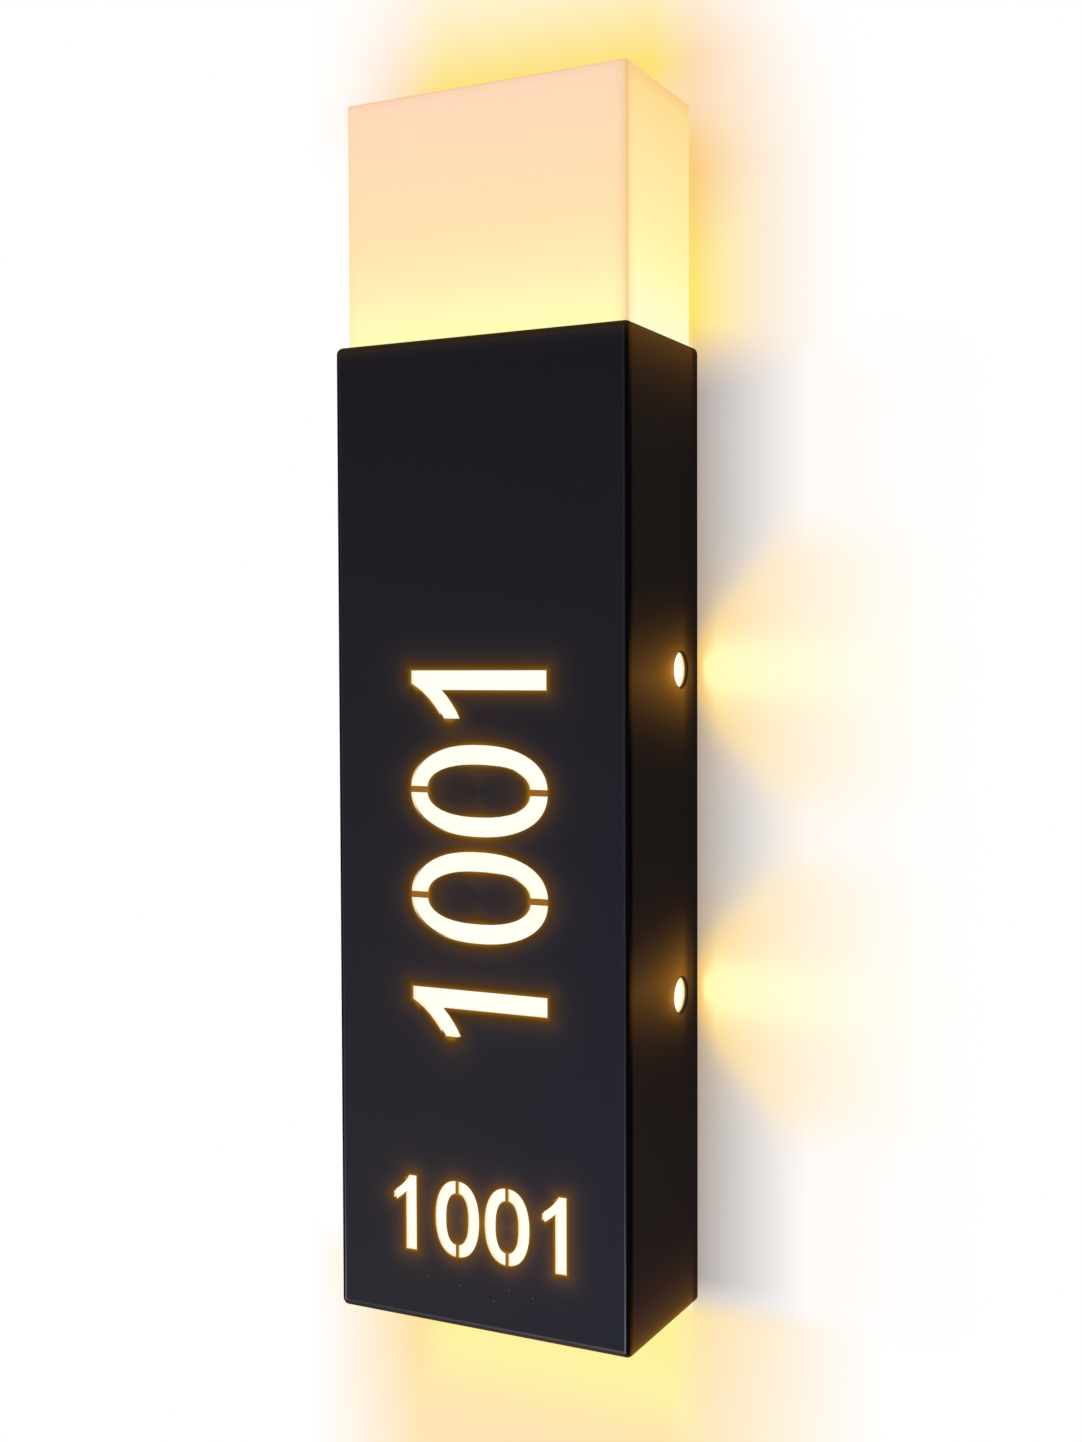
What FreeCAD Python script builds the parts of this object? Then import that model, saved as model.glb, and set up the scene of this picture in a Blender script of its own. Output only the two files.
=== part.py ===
import FreeCAD, Part
import math
import os
import Sketcher
from FreeCAD import Vector

# Room number wall light: a black steel cover with an opal box on top, on a steel wall tray.
# Frame: +X to the right seen from the room, +Y into the wall, +Z up.
# The origin is the middle of the wall screw pattern, on the wall. All lengths are millimetres.

SIZES = {
    # cover
    "housing_width": 100,
    "housing_height": 300,
    "housing_depth": 52.5,
    "housing_sheet": 1.5,
    "housing_corner": 2.2,
    "rear_gap": 0.5,
    "overrun": 1,
    "fit_gap": 0.05,
    # opal box on top
    "box_side_inset": 2.5,
    "box_rise": 75,
    "box_setback": 4.5,
    "box_wall": 3,
    "box_skirt": 14,
    "box_corner": 0.8,
    "box_gap": 0.4,
    "box_stud_inset": 12,
    "box_stud_drop": 7,
    "box_stud_length": 11,
    "box_strip_gap": 2.5,
    "box_strip_height": 10,
    "box_bar_thickness": 1.2,
    # light window and lock slots in the bottom of the cover
    "window_side": 10.5,
    "window_front": 6.5,
    "window_from_wall": 16,
    "window_overlap": 2.5,
    "window_clip_width": 10,
    "window_clip_reach": 3,
    "window_clip_sheet": 0.8,
    "lock_inset": 18,
    "lock_from_wall": 6,
    "lock_screw_diameter": 4,
    "lock_screw_length": 7,
    "lock_head_diameter": 7.5,
    "lock_head_height": 2.4,
    "lock_head_gap": 0.2,
    "lock_nut_diameter": 6,
    "lock_nut_length": 6,
    "lock_nut_rim": 8,
    "lock_nut_rim_height": 0.8,
    # light holes in the right side
    "side_hole_diameter": 11,
    "side_hole_drop": 23,
    "side_hole_from_wall": 14.2,
    "side_disc_diameter": 14,
    "side_disc_thickness": 2,
    "side_ring_diameter": 17,
    "side_ring_thickness": 3,
    "side_ring_lip": 1,
    "side_light_gap": 6.4,
    # large number, turned to read upwards
    "large_cap": 46.1,
    "large_stroke": 5.85,
    "large_zero_width": 27.6,
    "large_bridge": 1.9,
    "large_pitch": 32.2,
    "large_stem_offset": 1,
    "large_centre_drop": 2.2,
    "large_shift": 0.15,
    # small number, upright near the bottom
    "small_cap": 23,
    "small_stroke": 3.75,
    "small_zero_width": 15.2,
    "small_bridge": 1,
    "small_pitch": 17.1,
    "small_stem_offset": 0.9,
    "small_centre_rise": 33.2,
    "small_shift": 0.8,
    # opal sheets behind the numbers
    "diffuser_thickness": 2,
    "large_diffuser_margin": 9,
    "small_diffuser_end": 4.75,
    "small_diffuser_edge": 4.5,
    "diffuser_stud_inset": 4,
    "diffuser_stud_length": 7,
    "stud_diameter": 3,
    "stud_clearance": 0.15,
    "washer_diameter": 7,
    "washer_thickness": 0.5,
    "nut_across": 5.5,
    "nut_height": 2.4,
    # raised beads under the small number
    "bead_diameter": 1.2,
    "bead_height": 0.45,
    "bead_high_rise": 14.4,
    "bead_row_rise": 13.2,
    "bead_low_rise": 10.3,
    # wall tray
    "tray_sheet": 1.5,
    "tray_gap": 0.5,
    "tray_flange": 12,
    "tray_notch_margin": 2,
    "shelf_drop": 6,
    "shelf_side_gap": 4,
    "shelf_front_gap": 10.5,
    "wall_screw_inset": 10,
    "wall_screw_end": 50,
    "wall_slot_width": 4.5,
    "wall_slot_length": 9,
    # cable entry
    "cable_hole_diameter": 16,
    "cable_across": 14,
    "terminal_drop": 18,
    "grommet_bore": 9,
    "grommet_flange": 21,
    "grommet_flange_thickness": 2,
    "grommet_fit": 0.1,
    # boards
    "board_thickness": 1.6,
    "board_screw_inset": 4,
    "standoff_length": 8,
    "standoff_diameter": 6,
    "screw_diameter": 2.9,
    "screw_head_diameter": 5.5,
    "screw_head_height": 2,
    "screw_length": 5,
    "screw_slot_width": 0.8,
    "screw_slot_depth": 0.9,
    "number_board_margin": 20,
    "number_board_lap": 1,
    "number_board_gap": 9,
    "number_led_inset": 10,
    "number_led_end": 8,
    "small_board_margin": 11.5,
    "small_board_height": 24,
    "small_led_inset": 6.5,
    "small_led_height": 9,
    "top_board_margin": 8,
    "top_board_front_inset": 2,
    "top_board_from_wall": 10,
    "top_led_inset": 10,
    "top_led_depth": 8,
    "top_led_shift": 2,
    "bottom_board_margin": 12,
    "bottom_board_front_inset": 1.5,
    "bottom_board_from_wall": 16,
    "bottom_led_inset": 9,
    "bottom_led_gap": 2,
    "side_board_size": 16,
    "side_board_thickness": 1.2,
    "led_width": 3.5,
    "led_length": 2.8,
    "led_height": 0.7,
    # brackets
    "bottom_bracket_margin": 8,
    "bottom_bracket_front_gap": 9,
    "bottom_bracket_rise": 13,
    "bottom_bracket_height": 15,
    "bracket_sheet": 1.2,
    "bottom_rivet_inset": 18,
    "side_bracket_foot": 9,
    "side_bracket_reach": 20.5,
    "rivet_diameter": 3.2,
    "rivet_head_diameter": 6,
    "rivet_head_height": 1,
    "clip_rivet_diameter": 2.4,
    "clip_rivet_head": 4,
    "clip_rivet_from_end": 4,
    # spring clips
    "clip_sheet": 0.4,
    "clip_width": 6,
    "clip_height": 28,
    "clip_nose_height": 10,
    "clip_nose_gap": 0.15,
    "clip_gap": 1.5,
    "clip_from_wall": 4,
    "clip_window_margin": 1,
    # LED driver
    "driver_side_gap": 13.5,
    "driver_height": 32,
    "driver_depth": 20,
    "driver_base_depth": 7,
    "driver_shelf_gap": 5.5,
    "driver_corner": 1.5,
    "driver_ear": 9,
    "driver_ear_width": 7,
    "driver_ear_thickness": 2,
    "driver_wall": 1.5,
    # terminal block and earth
    "block_width": 28,
    "block_height": 16,
    "block_depth": 16,
    "block_inset": 26,
    "block_pole_pitch": 9,
    "block_screw_offset": 4.5,
    "block_well_diameter": 4.6,
    "block_well_depth": 4,
    "block_wire_hole": 3,
    "block_screw_diameter": 4,
    "block_screw_height": 2.5,
    "block_fixing_diameter": 2.5,
    "block_fixing_head": 4,
    "block_fixing_head_height": 1.5,
    "earth_inset": 10,
    "earth_stud_diameter": 4,
    "earth_stud_length": 11,
    "earth_washer_diameter": 9,
    "earth_washer_thickness": 0.8,
    "earth_nut_across": 7,
    "earth_nut_height": 3.2,
    "earth_tag_thickness": 0.8,
    "earth_tag_diameter": 8,
    "earth_barrel_diameter": 3.4,
    "earth_barrel_length": 7,
    # leads and plugs
    "lead_diameter": 2.4,
    "mains_lead_diameter": 2,
    "plug_width": 6,
    "plug_length": 6,
    "plug_height": 4,
    "low_plug_height": 3,
    "plug_inset": 3,
    "top_lead_from_wall": 6,
    "side_lead_reach": 13,
    "lead_slack": 4,
    "lead_hole_diameter": 6,
}

# How many of each repeated thing there are.
DIGITS = 4
NUMBER_LED_COLUMNS = 4
NUMBER_LED_ROWS = 9
SMALL_LED_COLUMNS = 6
SMALL_LED_ROWS = 2
TOP_LED_COLUMNS = 6
TOP_LED_ROWS = 2
BOTTOM_LED_COLUMNS = 6
TERMINAL_POLES = 3
NUT_SIDES = 6

# Shape of the digits, as shares of the cap height or of the half width.
FLAG_REACH_SHARE = 0.187
FLAG_TIP_HIGH_SHARE = 0.768
FLAG_TIP_LOW_SHARE = 0.632
FLAG_JOINT_SHARE = 0.768
FLAG_TOP_SHARE = 0.33
FLAG_BOW_SHARE = 0.016
FLAG_UNDER_BOW_SHARE = 0.007
ZERO_OVERSHOOT_SHARE = 0.007

# How much squarer than an ellipse, whose power is 2, the zeros are outside and inside.
ZERO_POWER = 2.28
ZERO_INNER_POWER = 2.36
OVAL_POINTS = 48

# How much of the tray's sheet a driver screw is threaded into.
THREAD_SHARE = 0.8

# How much of a lead's run its bends may use: an end run has one bend, the others have two.
END_RUN_SHARE = 0.6
RUN_SHARE = 0.45

# How far a lead's volume may be from its section times its length.
VOLUME_SHARE = 0.01

# The beads: place across the front as a share of the cover's width, and the row's name.
BEADS = (
    (-0.1765, "bead_high_rise"), (-0.067, "bead_row_rise"), (0.1035, "bead_high_rise"),
    (0.1825, "bead_row_rise"), (0.0505, "bead_low_rise"),
)

doc = FreeCAD.newDocument("RoomNumberLight")
sheet = doc.addObject("Spreadsheet::Sheet", "Sizes")
for row, (alias, value) in enumerate(SIZES.items(), start=1):
    sheet.set(f"A{row}", alias)
    sheet.set(f"B{row}", str(value))
    sheet.setAlias(f"B{row}", alias)
doc.recompute()


class Size:
    """A length worked out from the sheet's named sizes, kept as an expression."""

    def __init__(self, text):
        self.text = text

    def joined(self, sign, other, swap=False):
        mine, theirs = self.text, text_of(other)
        left, right = (theirs, mine) if swap else (mine, theirs)
        return Size(f"({left} {sign} {right})")

    def __add__(self, other):
        return self.joined("+", other)

    def __radd__(self, other):
        return self.joined("+", other, swap=True)

    def __sub__(self, other):
        return self.joined("-", other)

    def __rsub__(self, other):
        return self.joined("-", other, swap=True)

    def __mul__(self, other):
        return self.joined("*", other)

    def __rmul__(self, other):
        return self.joined("*", other, swap=True)

    def __truediv__(self, other):
        return self.joined("/", other)

    def __neg__(self):
        return Size(f"(0 - {self.text})")

    @property
    def value(self):
        result = sheet.evalExpression(self.text)
        return float(getattr(result, "Value", result))


class Named:
    """Gives each named size of the sheet as an attribute."""

    def __getattr__(self, name):
        if name not in SIZES:
            raise AttributeError(name)
        return Size(f"Sizes.{name}")


def text_of(amount):
    return amount.text if isinstance(amount, Size) else repr(amount)


def value_of(amount):
    return amount.value if isinstance(amount, Size) else float(amount)


def bind(item, **amounts):
    for name, amount in amounts.items():
        item.setExpression(name, text_of(amount))


size = Named()
sub_parts = []

# Directions that a piece can point in: its local x, y and z along the row's axes.
DIRECTIONS = {
    "front": ((1, 0, 0), (0, 0, 1), (0, -1, 0)),
    "up": ((1, 0, 0), (0, 1, 0), (0, 0, 1)),
    "down": ((1, 0, 0), (0, -1, 0), (0, 0, -1)),
    "right": ((0, 1, 0), (0, 0, 1), (1, 0, 0)),
    "left": ((0, -1, 0), (0, 0, 1), (-1, 0, 0)),
}

# Sketch planes: front looks out of the wall, up looks up, right looks to the right.
PLANES = {"front": "XZ_Plane", "up": "XY_Plane", "right": "YZ_Plane"}


# Solids made from sketches


class Outline:
    """A sketch on one of a body's own origin planes, with every size bound."""

    def __init__(self, body, name, facing, start):
        self.sketch = body.newObject("Sketcher::SketchObject", name)
        role = PLANES[facing]
        plane = next(item for item in body.Origin.OriginFeatures if item.Role == role)
        self.sketch.AttachmentSupport = [(plane, "")]
        self.sketch.MapMode = "FlatFace"
        self.sketch.setExpression("AttachmentOffset.Base.z", text_of(start))

    def held(self, kind, *where, amount):
        index = self.sketch.addConstraint(Sketcher.Constraint(kind, *where, value_of(amount)))
        self.sketch.setExpression(f"Constraints[{index}]", text_of(amount))

    def polygon(self, points):
        first = self.sketch.GeometryCount
        corners = [Vector(value_of(x), value_of(y), 0) for x, y in points]
        count = len(corners)
        for step, corner in enumerate(corners):
            line = Part.LineSegment(corner, corners[(step + 1) % count])
            self.sketch.addGeometry(line, False)
        for step in range(count):
            other = first + (step + 1) % count
            meeting = Sketcher.Constraint("Coincident", first + step, 2, other, 1)
            self.sketch.addConstraint(meeting)
        for step, (x, y) in enumerate(points):
            self.held("DistanceX", -1, 1, first + step, 1, amount=x)
            self.held("DistanceY", -1, 1, first + step, 1, amount=y)

    def box(self, left, right, low, high):
        self.polygon([(left, low), (right, low), (right, high), (left, high)])

    def circle(self, x, y, radius):
        centre = Vector(value_of(x), value_of(y), 0)
        index = self.sketch.GeometryCount
        round_edge = Part.Circle(centre, Vector(0, 0, 1), value_of(radius))
        self.sketch.addGeometry(round_edge, False)
        self.held("DistanceX", -1, 1, index, 3, amount=x)
        self.held("DistanceY", -1, 1, index, 3, amount=y)
        self.held("Radius", index, amount=radius)

    def slot(self, x, y, length, width):
        """A slot that lies along the sketch's x, with round ends."""
        reach, half = (length - width) / 2, width / 2
        first = self.sketch.GeometryCount
        cx, cy, r, run = value_of(x), value_of(y), value_of(half), value_of(reach)
        up = Vector(0, 0, 1)
        right = Part.Circle(Vector(cx + run, cy, 0), up, r)
        left = Part.Circle(Vector(cx - run, cy, 0), up, r)
        quarter = math.pi / 2
        self.sketch.addGeometry(Part.ArcOfCircle(right, -quarter, quarter), False)
        self.sketch.addGeometry(Part.ArcOfCircle(left, quarter, 3 * quarter), False)
        top = Part.LineSegment(Vector(cx + run, cy + r, 0), Vector(cx - run, cy + r, 0))
        base = Part.LineSegment(Vector(cx - run, cy - r, 0), Vector(cx + run, cy - r, 0))
        self.sketch.addGeometry(top, False)
        self.sketch.addGeometry(base, False)
        arc_right, arc_left, line_top, line_base = range(first, first + 4)
        joints = (
            (arc_right, 2, line_top, 1), (line_top, 2, arc_left, 1),
            (arc_left, 2, line_base, 1), (line_base, 2, arc_right, 1),
        )
        for joint in joints:
            self.sketch.addConstraint(Sketcher.Constraint("Tangent", *joint))
        self.held("DistanceX", -1, 1, arc_right, 3, amount=x + reach)
        self.held("DistanceX", -1, 1, arc_left, 3, amount=x - reach)
        self.held("DistanceY", -1, 1, arc_right, 3, amount=y)
        self.held("DistanceY", -1, 1, arc_left, 3, amount=y)
        self.held("Radius", arc_right, amount=half)


class SketchedPart:
    """A body that grows by pads and pockets, each drawn in one sketch."""

    def __init__(self, label):
        self.body = doc.addObject("PartDesign::Body", label)
        self.body.Label = label
        self.label = label
        self.steps = 0

    def feature(self, kind, facing, start, length, draw):
        self.steps += 1
        name = f"{self.label}_{self.steps}"
        outline = Outline(self.body, f"{name}_outline", facing, start)
        draw(outline)
        step = self.body.newObject(f"PartDesign::{kind}", name)
        step.Profile = outline.sketch
        step.setExpression("Length", text_of(length))
        if kind == "Pocket":
            step.Reversed = True
        return step

    def pad(self, facing, start, length, draw):
        return self.feature("Pad", facing, start, length, draw)

    def pocket(self, facing, start, length, draw):
        doc.recompute()
        before = self.body.Shape.Volume
        step = self.feature("Pocket", facing, start, length, draw)
        doc.recompute()
        if self.body.Shape.Volume >= before:
            raise ValueError(f"{step.Name} cuts nothing")
        return step

    def round_edges(self, radius, wanted):
        """Rounds each edge of the body so far that the test names by its middle."""
        doc.recompute()
        base = self.body.Tip
        names = [
            f"Edge{index}"
            for index, edge in enumerate(base.Shape.Edges, start=1)
            if wanted(edge.CenterOfMass)
        ]
        fillet = self.body.newObject("PartDesign::Fillet", f"{self.label}_rounding")
        fillet.Base = (base, names)
        fillet.setExpression("Radius", text_of(radius))
        return fillet

    def finished(self):
        return sub_part(self.label, [self.body])


# Solids made from primitives


def place(item, facing, point, along=(0, 0, 0)):
    """Turns a primitive and puts it at a point, moved along its own three axes."""
    axes = DIRECTIONS[facing]
    turn = FreeCAD.Rotation(*[Vector(*axis) for axis in axes], "ZXY")
    item.Placement = FreeCAD.Placement(Vector(), turn)
    for index, letter in enumerate("xyz"):
        spot = point[index]
        for amount, axis in zip(along, axes):
            if axis[index] > 0:
                spot = spot + amount
            elif axis[index] < 0:
                spot = spot - amount
        item.setExpression(f"Placement.Base.{letter}", text_of(spot))
    return item


def cylinder(facing, point, diameter, length, start=0):
    item = doc.addObject("Part::Cylinder", "cylinder")
    bind(item, Radius=diameter / 2, Height=length)
    return place(item, facing, point, (0, 0, start))


def block(facing, point, width, height, length, start=0):
    item = doc.addObject("Part::Box", "block")
    bind(item, Length=width, Width=height, Height=length)
    return place(item, facing, point, (-width / 2, -height / 2, start))


def prism(facing, point, across, length, start=0):
    item = doc.addObject("Part::Prism", "prism")
    item.Polygon = NUT_SIDES
    flat_share = math.cos(math.pi / NUT_SIDES)
    bind(item, Circumradius=across / 2 / flat_share, Height=length)
    return place(item, facing, point, (0, 0, start))


def fuse(*items):
    joined = doc.addObject("Part::MultiFuse", "joined")
    joined.Shapes = list(items)
    return joined


def cut(base, *tools):
    result = doc.addObject("Part::Cut", "cut")
    result.Base = base
    result.Tool = tools[0] if len(tools) == 1 else fuse(*tools)
    return result


def sub_part(label, items):
    """Names a sub-part: one solid, or a group of like solids in one node."""
    if len(items) == 1:
        result = items[0]
    else:
        result = doc.addObject("Part::Compound", label)
        result.Links = list(items)
    result.Label = label
    sub_parts.append(result)
    return result


def screw(facing, seat, diameter, head_diameter, head_height, length):
    """A slotted pan-head screw: seat is the point under its head."""
    head = cylinder(facing, seat, head_diameter, head_height)
    shank = cylinder(facing, seat, diameter, length, -length)
    depth = size.screw_slot_depth
    width = head_diameter + size.overrun
    slot = block(facing, seat, width, size.screw_slot_width, depth + size.overrun, head_height - depth)
    return cut(fuse(head, shank), slot)


def small_screw(facing, seat, length=None):
    reach = size.screw_length if length is None else length
    return screw(
        facing, seat, size.screw_diameter, size.screw_head_diameter, size.screw_head_height, reach
    )


def ring(facing, point, outer, bore, length, start=0):
    body = cylinder(facing, point, outer, length, start)
    hole = cylinder(facing, point, bore, length + 2 * size.overrun, start - size.overrun)
    return cut(body, hole)


def nut(facing, point, across, bore, length, start=0):
    body = prism(facing, point, across, length, start)
    hole = cylinder(facing, point, bore, length + 2 * size.overrun, start - size.overrun)
    return cut(body, hole)


# Places that several pieces share

half_width = size.housing_width / 2
half_height = size.housing_height / 2
inner_half_width = half_width - size.housing_sheet
inner_half_height = half_height - size.housing_sheet
front_inside = size.housing_depth - size.housing_sheet
tray_half_width = inner_half_width - size.tray_gap
tray_low = -(inner_half_height - size.tray_gap)

box_half = half_width - size.box_side_inset
box_front = size.housing_depth - size.box_setback
box_low = half_height - size.box_skirt
box_strip_half = box_half - size.box_wall - size.box_strip_gap
box_stud_height = half_height - size.box_stud_drop
stud_hole = size.stud_diameter + 2 * size.stud_clearance
screw_hole = size.screw_diameter + size.stud_clearance
rivet_hole = size.rivet_diameter + 2 * size.fit_gap
clip_rivet_hole = size.clip_rivet_diameter + 2 * size.fit_gap

large_middle = -size.large_centre_drop
small_middle = size.small_centre_rise - half_height
large_run = (DIGITS - 1) / 2 * size.large_pitch + size.large_cap / 4 + size.large_diffuser_margin
small_run = (DIGITS - 1) / 2 * size.small_pitch + size.small_cap / 4 + size.small_diffuser_end

shelf_top = box_low - size.shelf_drop
shelf_depth = front_inside - size.shelf_front_gap
driver_half = tray_half_width - size.tray_sheet - size.driver_side_gap
driver_centre = shelf_top - size.tray_sheet - size.driver_shelf_gap - size.driver_height / 2
driver_low = driver_centre - size.driver_height / 2
driver_top = driver_centre + size.driver_height / 2
terminal_height = driver_low - size.terminal_drop
block_middle = size.block_inset - tray_half_width
block_low = terminal_height - size.block_height / 2
block_top = terminal_height + size.block_height / 2
earth_across = tray_half_width - size.earth_inset
earth_lead_depth = size.tray_sheet + size.earth_washer_thickness + size.earth_barrel_diameter / 2

side_hole_rise = terminal_height - size.side_hole_drop
side_hole_heights = (side_hole_rise, -side_hole_rise)
side_ring_inner = inner_half_width - size.side_ring_thickness
side_board_face = side_ring_inner - size.side_light_gap - size.led_height
side_bracket_right = side_board_face - size.side_board_thickness
side_rivet_across = side_bracket_right - (size.side_bracket_foot + size.bracket_sheet) / 2
side_notch = size.side_ring_diameter / 2 + size.tray_notch_margin
clip_centre = side_hole_rise + side_notch + size.clip_gap + size.clip_height / 2
clip_rivet_height = clip_centre - size.clip_height / 2 + size.clip_rivet_from_end

board_back = size.tray_sheet + size.standoff_length
board_front = board_back + size.board_thickness
lead_depth = board_front + size.plug_height / 2
number_board_half = tray_half_width - size.number_board_margin
number_board_top = block_low - size.number_board_gap
number_board_low = large_middle - large_run - size.number_board_lap
number_led_half = number_board_half - size.number_led_inset
small_board_half = tray_half_width - size.small_board_margin
small_board_top = small_middle + size.small_board_height / 2
small_board_low = small_middle - size.small_board_height / 2
small_led_half = small_board_half - size.small_led_inset
top_board_half = tray_half_width - size.top_board_margin
top_board_far = shelf_depth - size.top_board_front_inset
top_led_half = top_board_half - size.top_led_inset

bracket_half = tray_half_width - size.bottom_bracket_margin
bracket_reach = front_inside - size.tray_sheet - size.bottom_bracket_front_gap
bracket_under = tray_low + size.bottom_bracket_height
bracket_top = bracket_under + size.bracket_sheet
bottom_board_half = tray_half_width - size.bottom_board_margin
bottom_board_low = bracket_under - size.board_thickness
bottom_board_far = size.tray_sheet + bracket_reach - size.bottom_board_front_inset
bottom_plug_front = size.bottom_board_from_wall + size.plug_inset
bottom_led_depth = bottom_plug_front + size.plug_length + size.bottom_led_gap
bottom_rivet_height = bracket_under - (size.bottom_bracket_rise - size.bracket_sheet) / 2


def both_sides(amount):
    return (-amount, amount)


def between_last_columns(half, columns):
    """A place midway between the last two columns of a row of LEDs."""
    return half * (1 - 1 / (columns - 1))


lock_places = both_sides(tray_half_width - size.lock_inset)
box_stud_places = both_sides(box_strip_half - size.box_stud_inset)
rivet_places = both_sides(bracket_half - size.bottom_rivet_inset)
number_plug_across = between_last_columns(number_led_half, NUMBER_LED_COLUMNS)
small_plug_across = between_last_columns(small_led_half, SMALL_LED_COLUMNS)
top_plug_across = between_last_columns(top_led_half, TOP_LED_COLUMNS)


# Digits cut through the front


def oval(half_long, half_short, power):
    """A smooth closed oval, long along y and a little squarer than an ellipse."""
    points = []
    for step in range(OVAL_POINTS):
        angle = 2 * math.pi * (step + 0.5) / OVAL_POINTS
        across, along = math.cos(angle), math.sin(angle)
        reach = (abs(across) ** power + abs(along) ** power) ** (-1 / power)
        points.append(Vector(half_short * across * reach, half_long * along * reach, 0))
    curve = Part.BSplineCurve()
    curve.interpolate(points, PeriodicFlag=True)
    return Part.Face(Part.Wire([curve.toShape()]))


def zero_face(cap, width, stroke, bridge):
    """A stencil zero about its own middle: an oval band with a bridge at top and bottom."""
    half = cap * (1 / 2 + ZERO_OVERSHOOT_SHARE)
    outer = oval(half, width / 2, ZERO_POWER)
    inner = oval(half - stroke, width / 2 - stroke, ZERO_INNER_POWER)
    strip = Part.makePlane(bridge, 2 * cap, Vector(-bridge / 2, -cap, 0))
    return outer.cut(inner).cut(strip)


def one_face(cap, stroke):
    """A one about the middle of its stem, with a slightly hollow flag."""
    half, low, high = stroke / 2, -cap / 2, cap / 2
    tip = -half - FLAG_REACH_SHARE * cap
    top_left = Vector(-half + FLAG_TOP_SHARE * stroke, high, 0)
    tip_high = Vector(tip, low + FLAG_TIP_HIGH_SHARE * cap, 0)
    tip_low = Vector(tip, low + FLAG_TIP_LOW_SHARE * cap, 0)
    joint = Vector(-half, low + FLAG_JOINT_SHARE * cap, 0)
    foot_left, foot_right = Vector(-half, low, 0), Vector(half, low, 0)
    top_right = Vector(half, high, 0)
    bow, under_bow = (Vector(cap, -cap, 0) * share for share in (FLAG_BOW_SHARE, FLAG_UNDER_BOW_SHARE))
    edges = (
        Part.LineSegment(foot_left, foot_right),
        Part.LineSegment(foot_right, top_right),
        Part.LineSegment(top_right, top_left),
        Part.Arc(top_left, (top_left + tip_high) / 2 + bow, tip_high),
        Part.LineSegment(tip_high, tip_low),
        Part.Arc(tip_low, (tip_low + joint) / 2 + under_bow, joint),
        Part.LineSegment(joint, foot_left),
    )
    return Part.Face(Part.Wire([edge.toShape() for edge in edges]))


def number_cutter(name, prefix, quarter_turns, centre):
    """The digits of a number as one cutting tool through the front sheet."""
    read = {key: getattr(size, f"{prefix}_{key}").value for key in (
        "cap", "stroke", "zero_width", "bridge", "pitch", "stem_offset")}
    zero = zero_face(read["cap"], read["zero_width"], read["stroke"], read["bridge"])
    one = one_face(read["cap"], read["stroke"])
    digits = (one,) + (zero,) * (DIGITS - 2) + (one,)
    through = size.housing_sheet.value + 2 * size.overrun.value
    solids = []
    for index, digit in enumerate(digits):
        across = (index - (DIGITS - 1) / 2) * read["pitch"]
        if digit is one:
            across += read["stem_offset"]
        moved = digit.translated(Vector(across, 0, 0))
        moved.rotate(Vector(), Vector(0, 0, 1), quarter_turns * 90)
        solids.append(moved.extrude(Vector(0, 0, through)))
    tool = doc.addObject("Part::Feature", name)
    tool.Shape = Part.Compound(solids)
    return place(tool, "front", centre, (0, 0, front_inside - size.overrun))


# Cover side


def make_housing():
    """The folded black cover: open at the back, notched for the box, stencilled in front."""
    part = SketchedPart("housing_shell")
    part.pad(
        "front", size.rear_gap, size.housing_depth - size.rear_gap,
        lambda s: s.box(-half_width, half_width, -half_height, half_height),
    )
    rear = -size.rear_gap.value - size.housing_corner.value
    deep = -size.housing_depth.value / 4
    part.round_edges(size.housing_corner, lambda middle: middle.y < max(rear, deep))
    part.pocket(
        "front", size.rear_gap, front_inside - size.rear_gap,
        lambda s: s.box(-inner_half_width, inner_half_width, -inner_half_height, inner_half_height),
    )
    through = size.housing_sheet + 2 * size.overrun
    notch = box_half + size.box_gap
    part.pocket(
        "up", inner_half_height - size.overrun, through,
        lambda s: s.box(-notch, notch, -(box_front + size.box_gap), size.overrun),
    )
    low = -half_height - size.overrun
    window_half, window_far = inner_half_width - size.window_side, front_inside - size.window_front
    part.pocket(
        "up", low, through,
        lambda s: s.box(-window_half, window_half, -window_far, -size.window_from_wall),
    )
    slot_half = size.lock_screw_diameter / 2 + size.stud_clearance
    for x in lock_places:
        part.pocket(
            "up", low, through,
            lambda s: s.box(x - slot_half, x + slot_half, -size.lock_from_wall, size.overrun),
        )
        part.pocket(
            "up", low, through,
            lambda s: s.circle(x, -size.lock_from_wall, slot_half),
        )

    def side_holes(s):
        for height in side_hole_heights:
            s.circle(-size.side_hole_from_wall, height, size.side_hole_diameter / 2)

    part.pocket("right", inner_half_width - size.overrun, through, side_holes)
    large = number_cutter("large_number", "large", 1, (size.large_shift, 0, large_middle))
    small = number_cutter("small_number", "small", 0, (size.small_shift, 0, small_middle))
    return sub_part("housing", [cut(part.body, large, small)])


def make_opal_box():
    """The glowing box: five walls, open below, with two screw holes in its hidden skirt."""
    part = SketchedPart("opal_box")
    half, wall, rear = box_half, size.box_wall, size.rear_gap
    tall = size.box_skirt + size.box_rise
    part.pad("up", box_low, tall, lambda s: s.box(-half, half, -box_front, -rear))
    low = box_low.value + size.box_corner.value
    part.round_edges(size.box_corner, lambda middle: middle.z > low)
    part.pocket(
        "up", box_low, tall - wall,
        lambda s: s.box(wall - half, half - wall, wall - box_front, -rear - wall),
    )

    def holes(s):
        for x in box_stud_places:
            s.circle(x, box_stud_height, stud_hole / 2)

    part.pocket("front", box_front - wall - size.overrun, wall + 2 * size.overrun, holes)
    part.finished()


def make_box_strip(label, start, thickness):
    """A strip across the box's front wall with a hole for each stud."""
    part = SketchedPart(label)
    half, rise = box_strip_half, size.box_strip_height / 2

    def draw(s):
        s.box(-half, half, box_stud_height - rise, box_stud_height + rise)
        for x in box_stud_places:
            s.circle(x, box_stud_height, stud_hole / 2)

    part.pad("front", start, thickness, draw)
    part.finished()


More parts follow.
